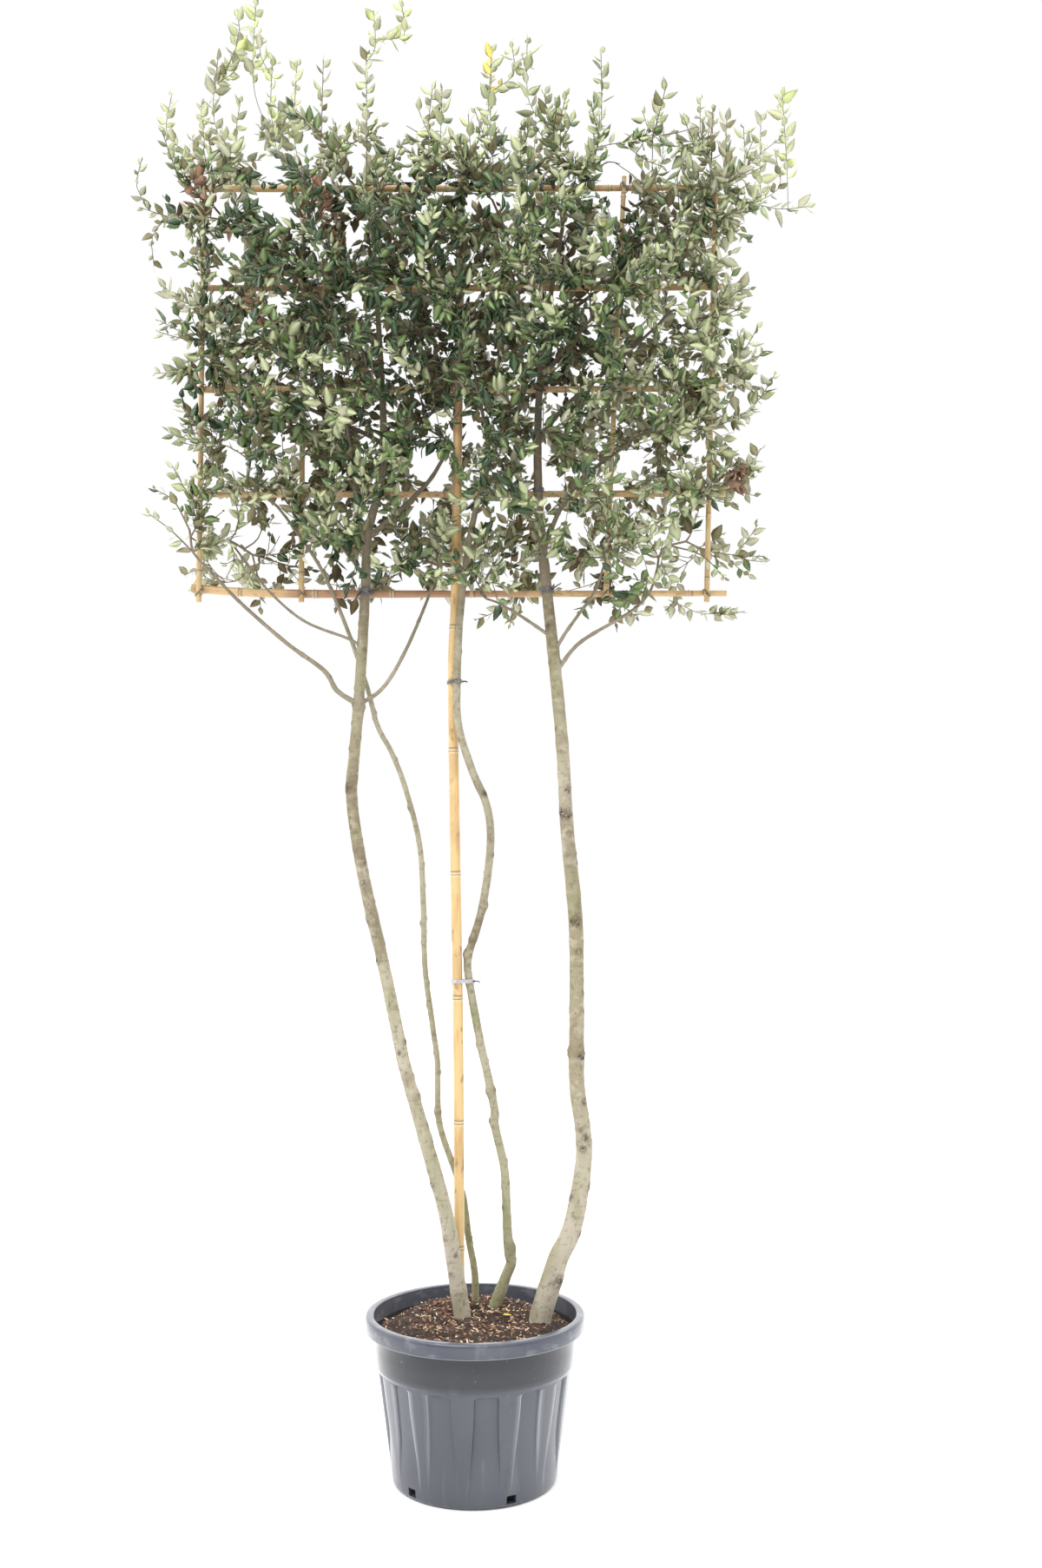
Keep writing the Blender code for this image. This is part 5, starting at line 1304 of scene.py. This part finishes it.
crown = {
    "x": (-0.93, 0.84), "z": (2.42, 3.92), "halfDepth": 0.26, "edgeDepth": 0.55,
    "spraysPerArea": 322.0, "trials": 12, "twigStep": 0.03, "forkGirth": 0.0030, "tipGirth": 0.0011,
    "sideTwigs": 3, "sideLength": (0.06, 0.14), "leafyRun": 0.19, "leafSpacing": 0.0162,
    "leafLength": (0.024, 0.053), "leafLean": math.radians(50),
    "shootLeafyRun": 0.27, "shootLeafSpacing": 0.0155, "shootSpread": 0.14, "sprigs": 13,
    "coverSpacing": 0.075, "coverDepth": (-0.10, -0.045),
    "coverRows": ((-0.80, -0.52), (-0.42, -0.10), (0.02, 0.40), (0.45, 0.70)),
    "topCover": ((-0.80, -0.62), (-0.30, 0.40)), "cornerCover": (
        (0.46, 3.50), (0.51, 3.54), (0.56, 3.58), (0.61, 3.62), (0.66, 3.66), (0.71, 3.70), (0.62, 3.56), (0.68, 3.58),
        (0.72, 3.54), (0.76, 3.60), (0.74, 3.66), (0.77, 3.69)),
    "poleCover": ((3.14, 3.34), (3.60, 3.76)),
    "topLine": ((-0.93, 3.93), (-0.72, 4.06), (-0.20, 4.12), (-0.08, 3.92), (0.08, 3.98), (0.22, 3.90),
                (0.45, 3.80), (0.94, 3.86)),
    "frontSprigs": ((0.045, 3.97), (0.125, 3.74), (0.235, 3.60), (-0.330, 3.60), (-0.130, 3.42), (0.600, 3.30)),
    "clear": 0.002, "leavesPerPiece": 5000, "seed": 18,
    "limits": ((-1.03, 1.00), (-0.33, 0.33), (2.36, 4.30)),
    "fullAcross": ((-0.95, 0.03), (-0.84, 0.20), (-0.66, 0.90), (-0.50, 1.0), (0.28, 1.0), (0.42, 0.80),
                   (0.62, 0.80), (0.72, 0.48), (0.82, 0.06)),
    "fullUp": ((2.42, 0.05), (2.50, 0.42), (2.60, 0.84), (2.88, 0.80), (3.08, 0.92), (3.25, 1.0), (3.60, 0.95),
               (3.72, 0.64), (3.80, 0.34), (3.92, 0.06)),
}
shootTips = (
    (-0.93, 2.69), (-0.95, 2.80), (-0.93, 3.11), (-0.92, 3.27),
    (-0.98, 3.50), (-1.00, 3.64), (-0.99, 3.77), (-0.93, 4.03), (-0.77, 4.09), (-0.66, 4.27),
    (-0.56, 4.16), (-0.31, 4.23), (-0.23, 4.27), (-0.10, 3.94), (0.10, 4.07),
    (0.20, 3.99), (0.36, 4.05), (0.52, 3.90),
    (0.04, 4.02), (0.145, 4.08), (0.48, 3.87), (0.56, 3.91), (0.65, 3.92),
    (0.74, 3.46), (0.72, 3.56), (0.78, 3.60), (0.80, 3.70),
    (0.70, 3.95), (0.76, 3.99), (0.86, 3.97), (0.90, 3.98), (0.88, 3.80), (0.97, 3.62), (0.76, 3.27), (0.75, 2.92), (0.70, 2.50), (-0.01, 2.42), (0.30, 2.43),
    (-0.72, 4.00), (-0.63, 4.10), (-0.69, 4.14),
    (-0.70, 3.06), (-0.62, 3.12), (-0.75, 3.13), (-0.74, 3.80), (-0.66, 3.83), (-0.60, 3.78), (-0.70, 3.74),
)
skyWindows = (  # x, z, half sizes, share of the leaves that stay
    (-0.705, 2.71, 0.035, 0.045, 0.0), (-0.612, 2.62, 0.045, 0.085, 0.1), (-0.364, 2.72, 0.030, 0.030, 0.1),
    (-0.281, 2.63, 0.035, 0.040, 0.1), (-0.100, 2.97, 0.040, 0.075, 0.3), (0.204, 2.80, 0.040, 0.110, 0.15),
    (0.408, 3.19, 0.035, 0.030, 0.2), (0.508, 2.88, 0.035, 0.035, 0.2), (0.560, 3.62, 0.060, 0.080, 0.75),
    (0.490, 2.54, 0.050, 0.040, 0.4), (-0.450, 2.50, 0.080, 0.040, 0.2), (0.300, 2.52, 0.040, 0.040, 0.2),
    (-0.060, 2.72, 0.030, 0.045, 0.5), (0.640, 2.62, 0.060, 0.060, 0.4),
    (-0.20, 3.86, 0.05, 0.05, 0.2), (0.02, 3.88, 0.05, 0.04, 0.2), (-0.74, 2.40, 0.12, 0.08, 0.05),
    (-0.92, 2.60, 0.10, 0.16, 0.5), (0.36, 3.97, 0.09, 0.10, 0.15), (0.44, 3.80, 0.10, 0.08, 0.5),
    (0.47, 3.63, 0.09, 0.07, 0.7), (0.46, 2.91, 0.09, 0.08, 0.65), (0.24, 2.70, 0.10, 0.09, 0.6),
    (-0.67, 2.90, 0.09, 0.09, 0.65), (-0.68, 2.72, 0.10, 0.08, 0.7), (-0.69, 2.54, 0.10, 0.06, 0.6), (0.90, 2.75, 0.08, 0.15, 0.5), (0.72, 3.84, 0.12, 0.08, 0.6),
)
yellowSpots = ((0.030, 3.93, 0.045, 0.4), (0.345, 3.28, 0.020, 0.5), (0.602, 2.47, 0.020, 0.5))
acorns = ((0.390, 3.49), (0.446, 3.66), (-0.209, 3.37))
acornSize = {"girth": 0.0068, "length": 0.021, "cup": 0.0085}
hearts = {name: Vector((x, 0, z)) for name, (_, (x, z)) in masses.items()}


def halfDepthAt(x, z):
    midX, midZ = sum(crown["x"]) / 2, sum(crown["z"]) / 2
    u = abs(x - midX) / (crown["x"][1] - midX)
    v = abs(z - midZ) / (crown["z"][1] - midZ)
    edge = min(1.0, max(u, v)) ** 4
    return crown["halfDepth"] * (1 - edge * (1 - crown["edgeDepth"]))


def ownedBy(point):
    return min(hearts, key=lambda name: (hearts[name] - point).length_squared)


def keptInWindow(x, z):
    kept = 1.0
    for wx, wz, halfX, halfZ, share in skyWindows:
        if ((x - wx) / halfX) ** 2 + ((z - wz) / halfZ) ** 2 < 1:
            kept = min(kept, share)
    return kept


def tubeFaces(path, radii, sides=5):
    # a plain tube for testing what is in the way
    vertices, faces = [], []
    for i, (point, radius) in enumerate(zip(path, radii)):
        way = (path[min(i + 1, len(path) - 1)] - path[max(i - 1, 0)]).normalized()
        side = way.orthogonal().normalized()
        other = way.cross(side)
        for k in range(sides):
            turn = 2 * math.pi * k / sides
            vertices.append(point + radius * (math.cos(turn) * side + math.sin(turn) * other))
    for ring in range(len(path) - 1):
        for k in range(sides):
            a, b = ring * sides + k, ring * sides + (k + 1) % sides
            faces.append((a, b, b + sides, a + sides))
    return vertices, faces


def obstacleTree():
    vertices, faces = [], []
    tubes = [(path[::5] + path[-1:], [r + crown["clear"] for r in radii[::5] + radii[-1:]])
             for path, radii in limbs.values()]
    left, right = rack["barEnds"]
    for z in rack["barHeights"]:
        tubes.append(([Vector((left, rack["barY"], z)), Vector((right, rack["barY"], z))], [0.012, 0.012]))
    for lowX, highX in rack["posts"].values():
        tubes.append(([Vector((lowX, -0.0063, 2.454)), Vector((highX, -0.0063, 3.724))], [0.010, 0.010]))
    tubes.append(([Vector(p) for p in rack["polePath"]], [0.0158] * len(rack["polePath"])))
    for path, radii in tubes:
        more, rings = tubeFaces(path, radii, 8)
        faces += [tuple(len(vertices) + i for i in face) for face in rings]
        vertices += more
    return BVHTree.FromPolygons(vertices, faces)


obstacles = obstacleTree()


def blocked(vertices, faces):
    return bool(obstacles.overlap(BVHTree.FromPolygons(vertices, faces)))


def shareAt(stops, value):
    for (v0, s0), (v1, s1) in zip(stops, stops[1:]):
        if value <= v1:
            return s0 + (s1 - s0) * max(0.0, (value - v0) / (v1 - v0))
    return stops[-1][1]


def fullnessAt(x, z):
    return shareAt(crown["fullAcross"], x) * shareAt(crown["fullUp"], z) * keptInWindow(x, z)


def goalsFor(mass, dice):
    # named shoot tips first, then sprays spread evenly, as many as the mass's share of the crown needs
    heart = hearts[mass]
    goals = []
    for x, z in shootTips:
        tip = Vector((x, dice.uniform(-1, 1) * crown["shootSpread"], z))
        if ownedBy(tip) == mass:
            goals.append((tip, True))
    for tip in sprigTips:
        if ownedBy(tip) == mass:
            goals.append((tip, True))
    goals += [(tip, False) for tip in coverTips if ownedBy(tip) == mass]
    half = 0.32
    free = []
    for _ in range(1600):
        point = Vector((heart.x + dice.uniform(-half, half), 0, heart.z + dice.uniform(-half, half)))
        if not (crown["x"][0] < point.x < crown["x"][1] and crown["z"][0] < point.z < crown["z"][1]):
            continue
        if ownedBy(point) == mass and dice.random() < fullnessAt(point.x, point.z):
            free.append(point)
    wanted = round(crown["spraysPerArea"] * (2 * half) ** 2 * len(free) / 1600)
    places = [g for g, _ in goals]
    while wanted and len(free) > crown["trials"]:
        best, bestRoom = None, -1.0
        for _ in range(crown["trials"]):
            point = free[dice.randrange(len(free))].copy()
            depth = halfDepthAt(point.x, point.z)
            point.y = dice.uniform(-depth, depth)
            room = min(((point - o).length for o in places), default=1.0)
            if room > bestRoom:
                best, bestRoom = point, room
        places.append(best)
        goals.append((best, False))
        wanted -= 1
    return goals


def spreadCover():
    # sprays in front of the posts, of the inner bars and of the pole's upper end
    dice = random.Random(crown["seed"] + 2)
    tips = []
    low, high = rack["barHeights"][0] + 0.12, rack["barHeights"][-1]
    for lowX, highX in rack["posts"].values():
        for k in range(int((high - low) / crown["coverSpacing"])):
            z = low + k * crown["coverSpacing"]
            tips.append(Vector((lowX + (highX - lowX) * (z - low) / (high - low), 0, z)))
    for left, right in crown["coverRows"]:
        for z in rack["barHeights"][2 if left > -0.5 and right < 0.44 else 1:4]:
            for k in range(int((right - left) / crown["coverSpacing"])):
                tips.append(Vector((left + (k + 0.5) * crown["coverSpacing"], 0, z)))
    for foot, head in crown["poleCover"]:
        for k in range(int((head - foot) / (0.7 * crown["coverSpacing"])) + 1):
            tips.append(Vector((rack["polePath"][-1][0], 0, foot + 0.7 * crown["coverSpacing"] * k)))
    for left, right in crown["topCover"]:
        for k in range(int((right - left) / crown["coverSpacing"])):
            tips.append(Vector((left + (k + 0.5) * crown["coverSpacing"], 0, high)))
    tips += [Vector((x, 0, z)) for x, z in crown["cornerCover"]]
    for tip in tips:
        tip.x += dice.uniform(-0.02, 0.02)
        tip.y = dice.uniform(*crown["coverDepth"])
    return [tip for tip in tips if dice.random() < keptInWindow(tip.x, tip.z)]


coverTips = spreadCover()


def forksOn(path, radii):
    return [(p, (q - p).normalized(), r) for p, q, r in zip(path[1:], path[2:], radii[1:])]


def spreadSprigs():
    # young shoots that stand up all along the top, between the named ones
    dice = random.Random(crown["seed"] + 1)
    tips = []
    left, right = crown["x"]
    for k in range(crown["sprigs"]):
        x = left + (right + 0.10 - left) * (k + dice.uniform(0.1, 0.9)) / crown["sprigs"]
        tips.append(Vector((x, dice.uniform(-0.13, 0.13), shareAt(crown["topLine"], x) + dice.uniform(-0.06, 0.06))))
    return tips + [Vector((x, dice.uniform(-0.27, -0.22), z)) for x, z in crown["frontSprigs"]]


sprigTips = spreadSprigs()


def isUpright(goal, shoot):
    return shoot and (goal.z > 3.84 or goal.y < -0.21)


def forkCost(fork, goal, upright=False, rim=False):
    way = goal - fork[0]
    if way.length < 0.025 or (upright and way.z < 0.12):
        return 10.0
    if upright:
        return 2.5 * math.hypot(way.x, way.y) + 0.6 * way.z
    level = max(0.0, 0.8 * math.hypot(way.x, way.y) - way.z) if rim else 0.0
    return way.length * (1.5 - 0.5 * fork[1].dot(way.normalized())) + 1.5 * level


def twigAlong(points, girth):
    path = smoothPath(points, crown["twigStep"])
    run = runAlong(path)
    return path, [girth + (crown["tipGirth"] - girth) * r / run[-1] for r in run], run[-1]


def sideTwigsOn(path, shoot, dice):
    # short leafy twigs off the outer part of a twig
    found = []
    for _ in range(0 if shoot else crown["sideTwigs"]):
        i = min(len(path) - 2, int(dice.uniform(0.35, 0.95) * (len(path) - 1)))
        ahead = (path[i + 1] - path[i]).normalized()
        sideways = Vector([dice.uniform(-1, 1) for _ in range(3)])
        way = (ahead * 0.8 + sideways * 0.8 + Vector((0, 0, 0.35))).normalized()
        end = path[i] + way * dice.uniform(*crown["sideLength"])
        bend = path[i].lerp(end, 0.5) + Vector((0, 0, -0.006))
        found.append(twigAlong((path[i], bend, end), crown["tipGirth"] * 1.3))
    return found


def growMass(mass, dice):
    # the bough goes on as the mass's own stem, and twigs branch from it towards their goals
    heart = hearts[mass]
    carrierPath, carrierRadii = limbs[masses[mass][0]]
    tip, heading = carrierPath[-1], (carrierPath[-1] - carrierPath[-4]).normalized()
    reach = max(0.12, (heart - tip).length)
    elbow = tip + heading * (0.35 * reach)
    path = smoothPath((tip, elbow, heart.lerp(elbow, 0.25)), crown["twigStep"])
    thick = min(carrierRadii[-1], 0.0055)
    radii = [thick + (0.0034 - thick) * r / runAlong(path)[-1] for r in runAlong(path)]
    twigs = [(path, radii, False, 0.0)]
    forks = forksOn(path, radii) + [(path[-1], (path[-1] - path[-2]).normalized(), radii[-1])]
    for goal, shoot in sorted(goalsFor(mass, dice), key=lambda g: (g[0] - heart).length):
        upright, rim = isUpright(goal, shoot), shoot and abs(goal.x) > 0.78
        for start, startHeading, startGirth in sorted(forks, key=lambda f: forkCost(f, goal, upright, rim))[:6]:
            length = (goal - start).length
            sideways = Vector([dice.uniform(-1, 1) for _ in range(3)])
            bend = start.lerp(goal, 0.45) + startHeading * (0.14 * length) + sideways * (0.06 * length)
            if upright:
                # a shoot at the top leaves sideways and then stands up
                bend = Vector((goal.x, goal.y, start.z)).lerp(goal, 0.35) + sideways * 0.012
            girth = min(crown["forkGirth"], startGirth * 0.85) if length > 0.05 else crown["tipGirth"] * 1.6
            path, radii, run = twigAlong((start, bend, goal), girth)
            if not blocked(*tubeFaces(path[1:], radii[1:], 3)):
                twigs.append((path, radii, shoot, run))
                forks += forksOn(path, radii)
                for side, girths, sideRun in sideTwigsOn(path, shoot, dice):
                    if not blocked(*tubeFaces(side[1:], girths[1:], 3)) and withinLimits(side[-1]):
                        twigs.append((side, girths, shoot, sideRun))
                break
    return twigs


def withinLimits(point):
    return all(low < value < high for value, (low, high) in zip(point, crown["limits"]))


def sprayColour(place, shoot, dice):
    # pale at the rims, young at the tops, dark inside and in drifts
    high = easeStep(3.58, 3.90, place.z)
    rim = max(easeStep(-0.66, -0.88, place.x), easeStep(0.62, 0.84, place.x))
    low = 1 - easeStep(2.55, 2.80, place.z)
    front = abs(place.y) / crown["halfDepth"]
    right = easeStep(0.18, 0.34, place.x)
    drift = 0.5 * noise.noise(place * 3.1 + Vector((7.3, 1.1, 4.7)))
    if place.z > 3.86:
        return "Young" if dice.random() < easeStep(3.83, 4.0, place.z) * 0.55 else "Pale"
    if shoot and place.y < -0.21:
        return "Pale"
    centre = (1 - easeStep(0.15, 0.45, abs(place.x))) * easeStep(2.80, 3.05, place.z)
    pale = 0.25 + 0.62 * high + 0.55 * rim + 0.15 * low - 0.08 * centre + 0.10 * front + 0.22 * right - drift
    dark = 0.44 - 0.95 * high - 0.50 * rim - 0.20 * low + 0.16 * centre - 0.10 * front - 0.30 * right + drift
    roll = dice.random()
    return "Pale" if roll < pale else "Dark" if roll > 1 - dark else "Mid"


nextKind = {"Young": "Pale", "Pale": "Mid", "Mid": "Dark", "Dark": "Mid"}
drySprays = ((-0.79, 3.63, 0.050), (-0.47, 3.60, 0.055), (-0.62, 3.29, 0.045), (0.75, 2.82, 0.035))


def leafTurn(along, facing):
    # the leaf's own axes: +Y to its tip, +Z out of its upper side
    across = along.cross(facing).normalized()
    up = across.cross(along)
    return Matrix((across, along, up)).transposed().to_euler()


def leavesOn(twigs, dice):
    leaves = []  # seat, direction, facing, length, colour kind
    for path, radii, shoot, length in twigs:
        if not length:
            continue
        run = runAlong(path)
        leafy = crown["shootLeafyRun"] if isUpright(path[-1], shoot) else crown["leafyRun"]
        at = max(0.008, run[-1] - leafy)
        turn = dice.uniform(0, 6.283)
        spraySize = dice.uniform(0.82, 1.2) * (1.08 if path[-1].z > 3.95 else 1.0)
        upright = isUpright(path[-1], shoot)
        if path[-1].y < -0.21 and upright:
            spraySize = 1.0
        spacing = crown["shootLeafSpacing" if upright else "leafSpacing"]
        sprayKind = sprayColour(path[-1], shoot, dice)
        while at <= run[-1] + 0.001:
            i = next(k for k in range(len(run) - 1) if at <= run[k + 1] or k == len(run) - 2)
            t = min(1.0, (at - run[i]) / (run[i + 1] - run[i]))
            seat = path[i].lerp(path[i + 1], t)
            ahead = (path[i + 1] - path[i]).normalized()
            side = ahead.orthogonal().normalized()
            side = math.cos(turn) * side + math.sin(turn) * ahead.cross(side)
            nearTip = easeStep(run[-1] - 0.03, run[-1], at)
            lean = crown["leafLean"] * (1 - 0.6 * nearTip) + dice.uniform(-0.25, 0.25)
            along = (math.cos(lean) * ahead + math.sin(lean) * side).normalized()
            facing = Vector((dice.uniform(-0.7, 0.7), 1.6 * seat.y / crown["halfDepth"] + dice.uniform(-1.0, 1.0),
                             0.55 + dice.uniform(-0.6, 0.6)))
            if abs(along.dot(facing.normalized())) > 0.97:
                facing = Vector((0.5, -0.8, 0.3))
            size = dice.uniform(*crown["leafLength"]) * spraySize * (1 - 0.45 * nearTip)
            middle = seat + along * size * 0.5
            if upright or dice.random() < max(0.03, keptInWindow(middle.x, middle.z)):
                kind = sprayKind if dice.random() < 0.8 else nextKind[sprayKind]
                for x, z, reach in drySprays:
                    near = (middle.x - x) ** 2 + (middle.z - z) ** 2 < reach ** 2
                    if near and abs(middle.y) < 0.2 and dice.random() < 0.75:
                        kind = "Dry"
                for x, z, reach, share in yellowSpots:
                    near = (middle.x - x) ** 2 + (middle.z - z) ** 2 < reach ** 2
                    if near and middle.y < 0 and dice.random() < share:
                        kind = "Yellow"
                leaves.append((seat, along, facing, size, kind))
            turn += 2.4 + dice.uniform(-0.3, 0.3)
            at += spacing * dice.uniform(0.6, 1.3) * (1 - 0.3 * nearTip)
    return leaves


def leafPattern(name, widthShare, curl, cup, wave, teeth):
    # one leaf a unit long: upper and under side meet at the rim
    stations = ((0.08, 0.34), (0.28, 0.92), (0.50, 0.98), (0.77, 0.52))
    vertices, faces, under = [(0, 0, 0), (0, 1.0, -curl)], [], []
    half = widthShare / 2
    for i, (t, w) in enumerate(stations):
        bow = -curl * t * t
        ripple = wave * math.sin(9.0 * t + i)
        jag = 1 + teeth * (1 if i % 2 else -1)
        x = half * w * jag
        vertices += [(-x, t, bow - cup * w * half + ripple), (0, t, bow + 0.007),
                     (x, t, bow - cup * w * half - ripple), (0, t, bow - 0.004)]
    for side, rim in ((1, 0), (1, 2), (3, 0), (3, 2)):
        rows = [0] + [2 + 4 * i for i in range(len(stations))] + [1]
        for i in range(len(rows) - 1):
            near, far = rows[i], rows[i + 1]
            if i == 0:
                face = (0, far + rim, far + side)
            elif i == len(rows) - 2:
                face = (near + side, near + rim, 1)
            else:
                face = (near + side, near + rim, far + rim, far + side)
            faces.append(face)
            under.append(side == 3)
    made = meshObject(name, vertices, faces)
    form = bmesh.new()
    form.from_mesh(made.data)
    bmesh.ops.recalc_face_normals(form, faces=form.faces)
    form.to_mesh(made.data)
    form.free()
    attribute = made.data.attributes.new("under", "BOOLEAN", "FACE")
    attribute.data.foreach_set("value", under)
    made.data.shade_smooth()
    scene.collection.objects.unlink(made)
    return made


def plantLeaves(leaves, patterns):
    byColour = {}
    for leaf in leaves:
        byColour.setdefault(leaf[4], []).append(leaf)
    dice = random.Random(5)
    for label, everyLeaf in byColour.items():
        count = math.ceil(len(everyLeaf) / crown["leavesPerPiece"])
        for number in range(count):
            group = everyLeaf[number::count]
            points = meshObject(f"leaves{label}{number + 1}", [leaf[0] for leaf in group], [])
            setAttribute(points.data, "turn", "FLOAT_VECTOR", [leafTurn(leaf[1], leaf[2]) for leaf in group])
            setAttribute(points.data, "size", "FLOAT", [leaf[3] for leaf in group])
            setAttribute(points.data, "kind", "INT", [dice.randrange(len(patterns.objects)) for _ in group])
            runTree(points, leafTree, {"Patterns": patterns, "Upper": materials["leafTop" + label],
                                       "Under": materials["leafBack" + label]})
            points.data.shade_smooth()
            keep(points, list(masses), "leaf")
            print("leaves", label, len(group), "with", len(points.data.loop_triangles), "triangles")


def latheFaces(profile, place, tilt, sides=10):
    # a ring of points for each (radius, height), both ends closed with a flat face
    turned = Matrix.Translation(place) @ Matrix.Rotation(tilt, 4, "X")
    vertices, faces = [], []
    for radius, height in profile:
        for k in range(sides):
            turn = 2 * math.pi * k / sides
            vertices.append(turned @ Vector((radius * math.cos(turn), radius * math.sin(turn), height)))
    for ring in range(len(profile) - 1):
        for k in range(sides):
            a, b = ring * sides + k, ring * sides + (k + 1) % sides
            faces.append((a, b, b + sides, a + sides))
    faces.append(tuple(reversed(range(sides))))
    faces.append(tuple(range(len(vertices) - sides, len(vertices))))
    return vertices, faces


def makeAcorns(chains):
    # an acorn hangs from the nearest front twig to each place
    size = acornSize
    nut = [(size["girth"] * math.sin(math.pi * s), -size["length"] * s) for s in (0.12, 0.25, 0.4, 0.55, 0.7, 0.82, 0.92)]
    nut.append((0.0010, -size["length"]))
    cup = [(0.0016, 0.004), (size["cup"] * 0.75, 0.001), (size["cup"], -0.003), (size["cup"] * 1.02, -0.007)]
    for label, profile in (("acornNuts", nut), ("acornCups", cup)):
        vertices, faces = [], []
        for x, z in acorns:
            tips = [path[-1] for path, _ in chains]
            tip = min(tips, key=lambda p: math.hypot(p.x - x, p.z - z) + 0.5 * max(0.0, p.y + 0.16))
            more, rings = latheFaces(profile, tip + Vector((0, -0.004, -0.004)), 0.35)
            faces += [tuple(len(vertices) + i for i in face) for face in rings]
            vertices += more
        made = meshObject(label, vertices, faces)
        outwardFaces(made)
        made.data.shade_smooth()
        made.data.materials.append(materials["acorn" if label == "acornNuts" else "acornCup"])
        keep(made, [], None)


def leafInWay(leaf):
    seat, along, facing, size, _ = leaf
    across = along.cross(facing).normalized()
    middle = seat + along * size * 0.5
    start = seat + along * size * 0.12
    corners = [start, middle + across * size * 0.24, seat + along * size, middle - across * size * 0.24]
    if not all(withinLimits(corner) for corner in corners):
        return True
    return blocked(corners, [(0, 1, 2), (0, 2, 3)])


def makeCrown():
    dice = random.Random(crown["seed"])
    chains, leaves = [], []
    for mass in masses:
        twigs = growMass(mass, dice)
        chains += [(path, radii) for path, radii, _, _ in twigs]
        leaves += [leaf for leaf in leavesOn(twigs, dice) if not leafInWay(leaf)]
    keep(chainsToTubes("crownTwigs", chains, 5, materials["twigBark"], 0.0002, 90.0), list(masses), "leaf")
    patterns = bpy.data.collections.new("leafPatterns")
    for number, shape in enumerate(((0.54, 0.06, 0.12, 0.008, 0.0), (0.50, 0.14, 0.22, 0.018, 0.04),
                                    (0.60, -0.04, 0.18, 0.010, 0.0), (0.46, 0.18, -0.18, 0.016, 0.06),
                                    (0.56, 0.10, 0.40, 0.022, 0.03), (0.50, -0.10, 0.50, 0.018, 0.04))):
        patterns.objects.link(leafPattern(f"leafPattern{number}", *shape))
    fallen = (Vector((0.072, 0.030, 0.4365)), Vector((0.75, -0.66, 0.05)).normalized(), Vector((0.1, -0.1, 1)), 0.042, "Yellow")
    plantLeaves(leaves + [fallen], patterns)
    makeAcorns(chains)
    for pattern in list(patterns.objects):
        bpy.data.objects.remove(pattern, do_unlink=True)
    bpy.data.collections.remove(patterns)
    print("crown made:", len(chains), "twigs,", len(leaves), "leaves")


makeCrown()


# stage, light and camera
stageLook = {"floorColour": (0.86, 0.86, 0.87), "skySide": 1.6, "skyFront": 0.36, "skyTop": 2.1,
             "keyPower": 260.0, "lens": 33.47, "cameraPlace": (0.128, -4.172, 1.627), "cameraPitch": 4.11}


def makeStage():
    floor = meshObject("studioFloor", [(-40, -40, -0.0005), (40, -40, -0.0005), (40, 40, -0.0005),
                                       (-40, 40, -0.0005)], [(0, 1, 2, 3)])
    finish = Finish("studioFloor", stageLook["floorColour"], 0.9)
    finish.layer(finish.mask(mottle, Scale=2.0), tuple(0.98 * c for c in stageLook["floorColour"]), 0.6)
    floor.data.materials.append(finish.material)
    world = bpy.data.worlds.new("studioSky")
    scene.world = world
    world.use_nodes = True
    tree = world.node_tree
    place = addNode(tree, "ShaderNodeTexCoord")
    split = addNode(tree, "ShaderNodeSeparateXYZ")
    tree.links.new(place.outputs["Generated"], split.inputs[0])

    def rampOf(axis, low, high):
        made = addNode(tree, "ShaderNodeMapRange", interpolation_type="SMOOTHSTEP")
        tree.links.new(split.outputs[axis], made.inputs["Value"])
        made.inputs["From Min"].default_value = low
        made.inputs["From Max"].default_value = high
        return made.outputs["Result"]

    def blendTo(mask, start, end):
        made = addNode(tree, "ShaderNodeMix", data_type="FLOAT")
        tree.links.new(mask, made.inputs["Factor"])
        for socket, value in ((made.inputs["A"], start), (made.inputs["B"], end)):
            if isinstance(value, bpy.types.NodeSocket):
                tree.links.new(value, socket)
            else:
                socket.default_value = value
        return made.outputs["Result"]

    # bright walls at the sides and behind, dim ones in front, brightest overhead, plain white where seen
    walls = blendTo(rampOf("Y", -0.05, -0.75), stageLook["skySide"], stageLook["skyFront"])
    light = blendTo(rampOf("Z", 0.15, 0.9), walls, stageLook["skyTop"])
    seen = addNode(tree, "ShaderNodeLightPath").outputs["Is Camera Ray"]
    tree.links.new(blendTo(seen, light, 1.0), tree.nodes["Background"].inputs["Strength"])
    tree.nodes["Background"].inputs["Color"].default_value = (1.0, 1.0, 1.0, 1)
    for name, place, size, power in (("keyLight", (-2.5, -4.0, 6.5), 4.0, stageLook["keyPower"]),
                                     ("rimLight", (3.0, 3.5, 6.0), 4.0, 0.4 * stageLook["keyPower"])):
        lamp = bpy.data.lights.new(name, "AREA")
        lamp.size = size
        lamp.energy = power
        holder = bpy.data.objects.new(name, lamp)
        holder.location = place
        holder.rotation_euler = (Vector((0, 0, 2.2)) - Vector(place)).to_track_quat("-Z", "Y").to_euler()
        scene.collection.objects.link(holder)
    camera = bpy.data.objects.new("photoCamera", bpy.data.cameras.new("photoCamera"))
    camera.data.lens = stageLook["lens"]
    camera.data.sensor_width = 36.0
    camera.data.clip_end = 200.0
    camera.location = stageLook["cameraPlace"]
    camera.rotation_euler = (math.radians(90 + stageLook["cameraPitch"]), 0, 0)
    scene.collection.objects.link(camera)
    scene.camera = camera
    scene.view_settings.view_transform = "Standard"


makeStage()
for piece, nodes, slot in finished:
    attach(piece, "root")
    if nodes:
        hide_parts(*nodes)
print("pieces:", len(finished))
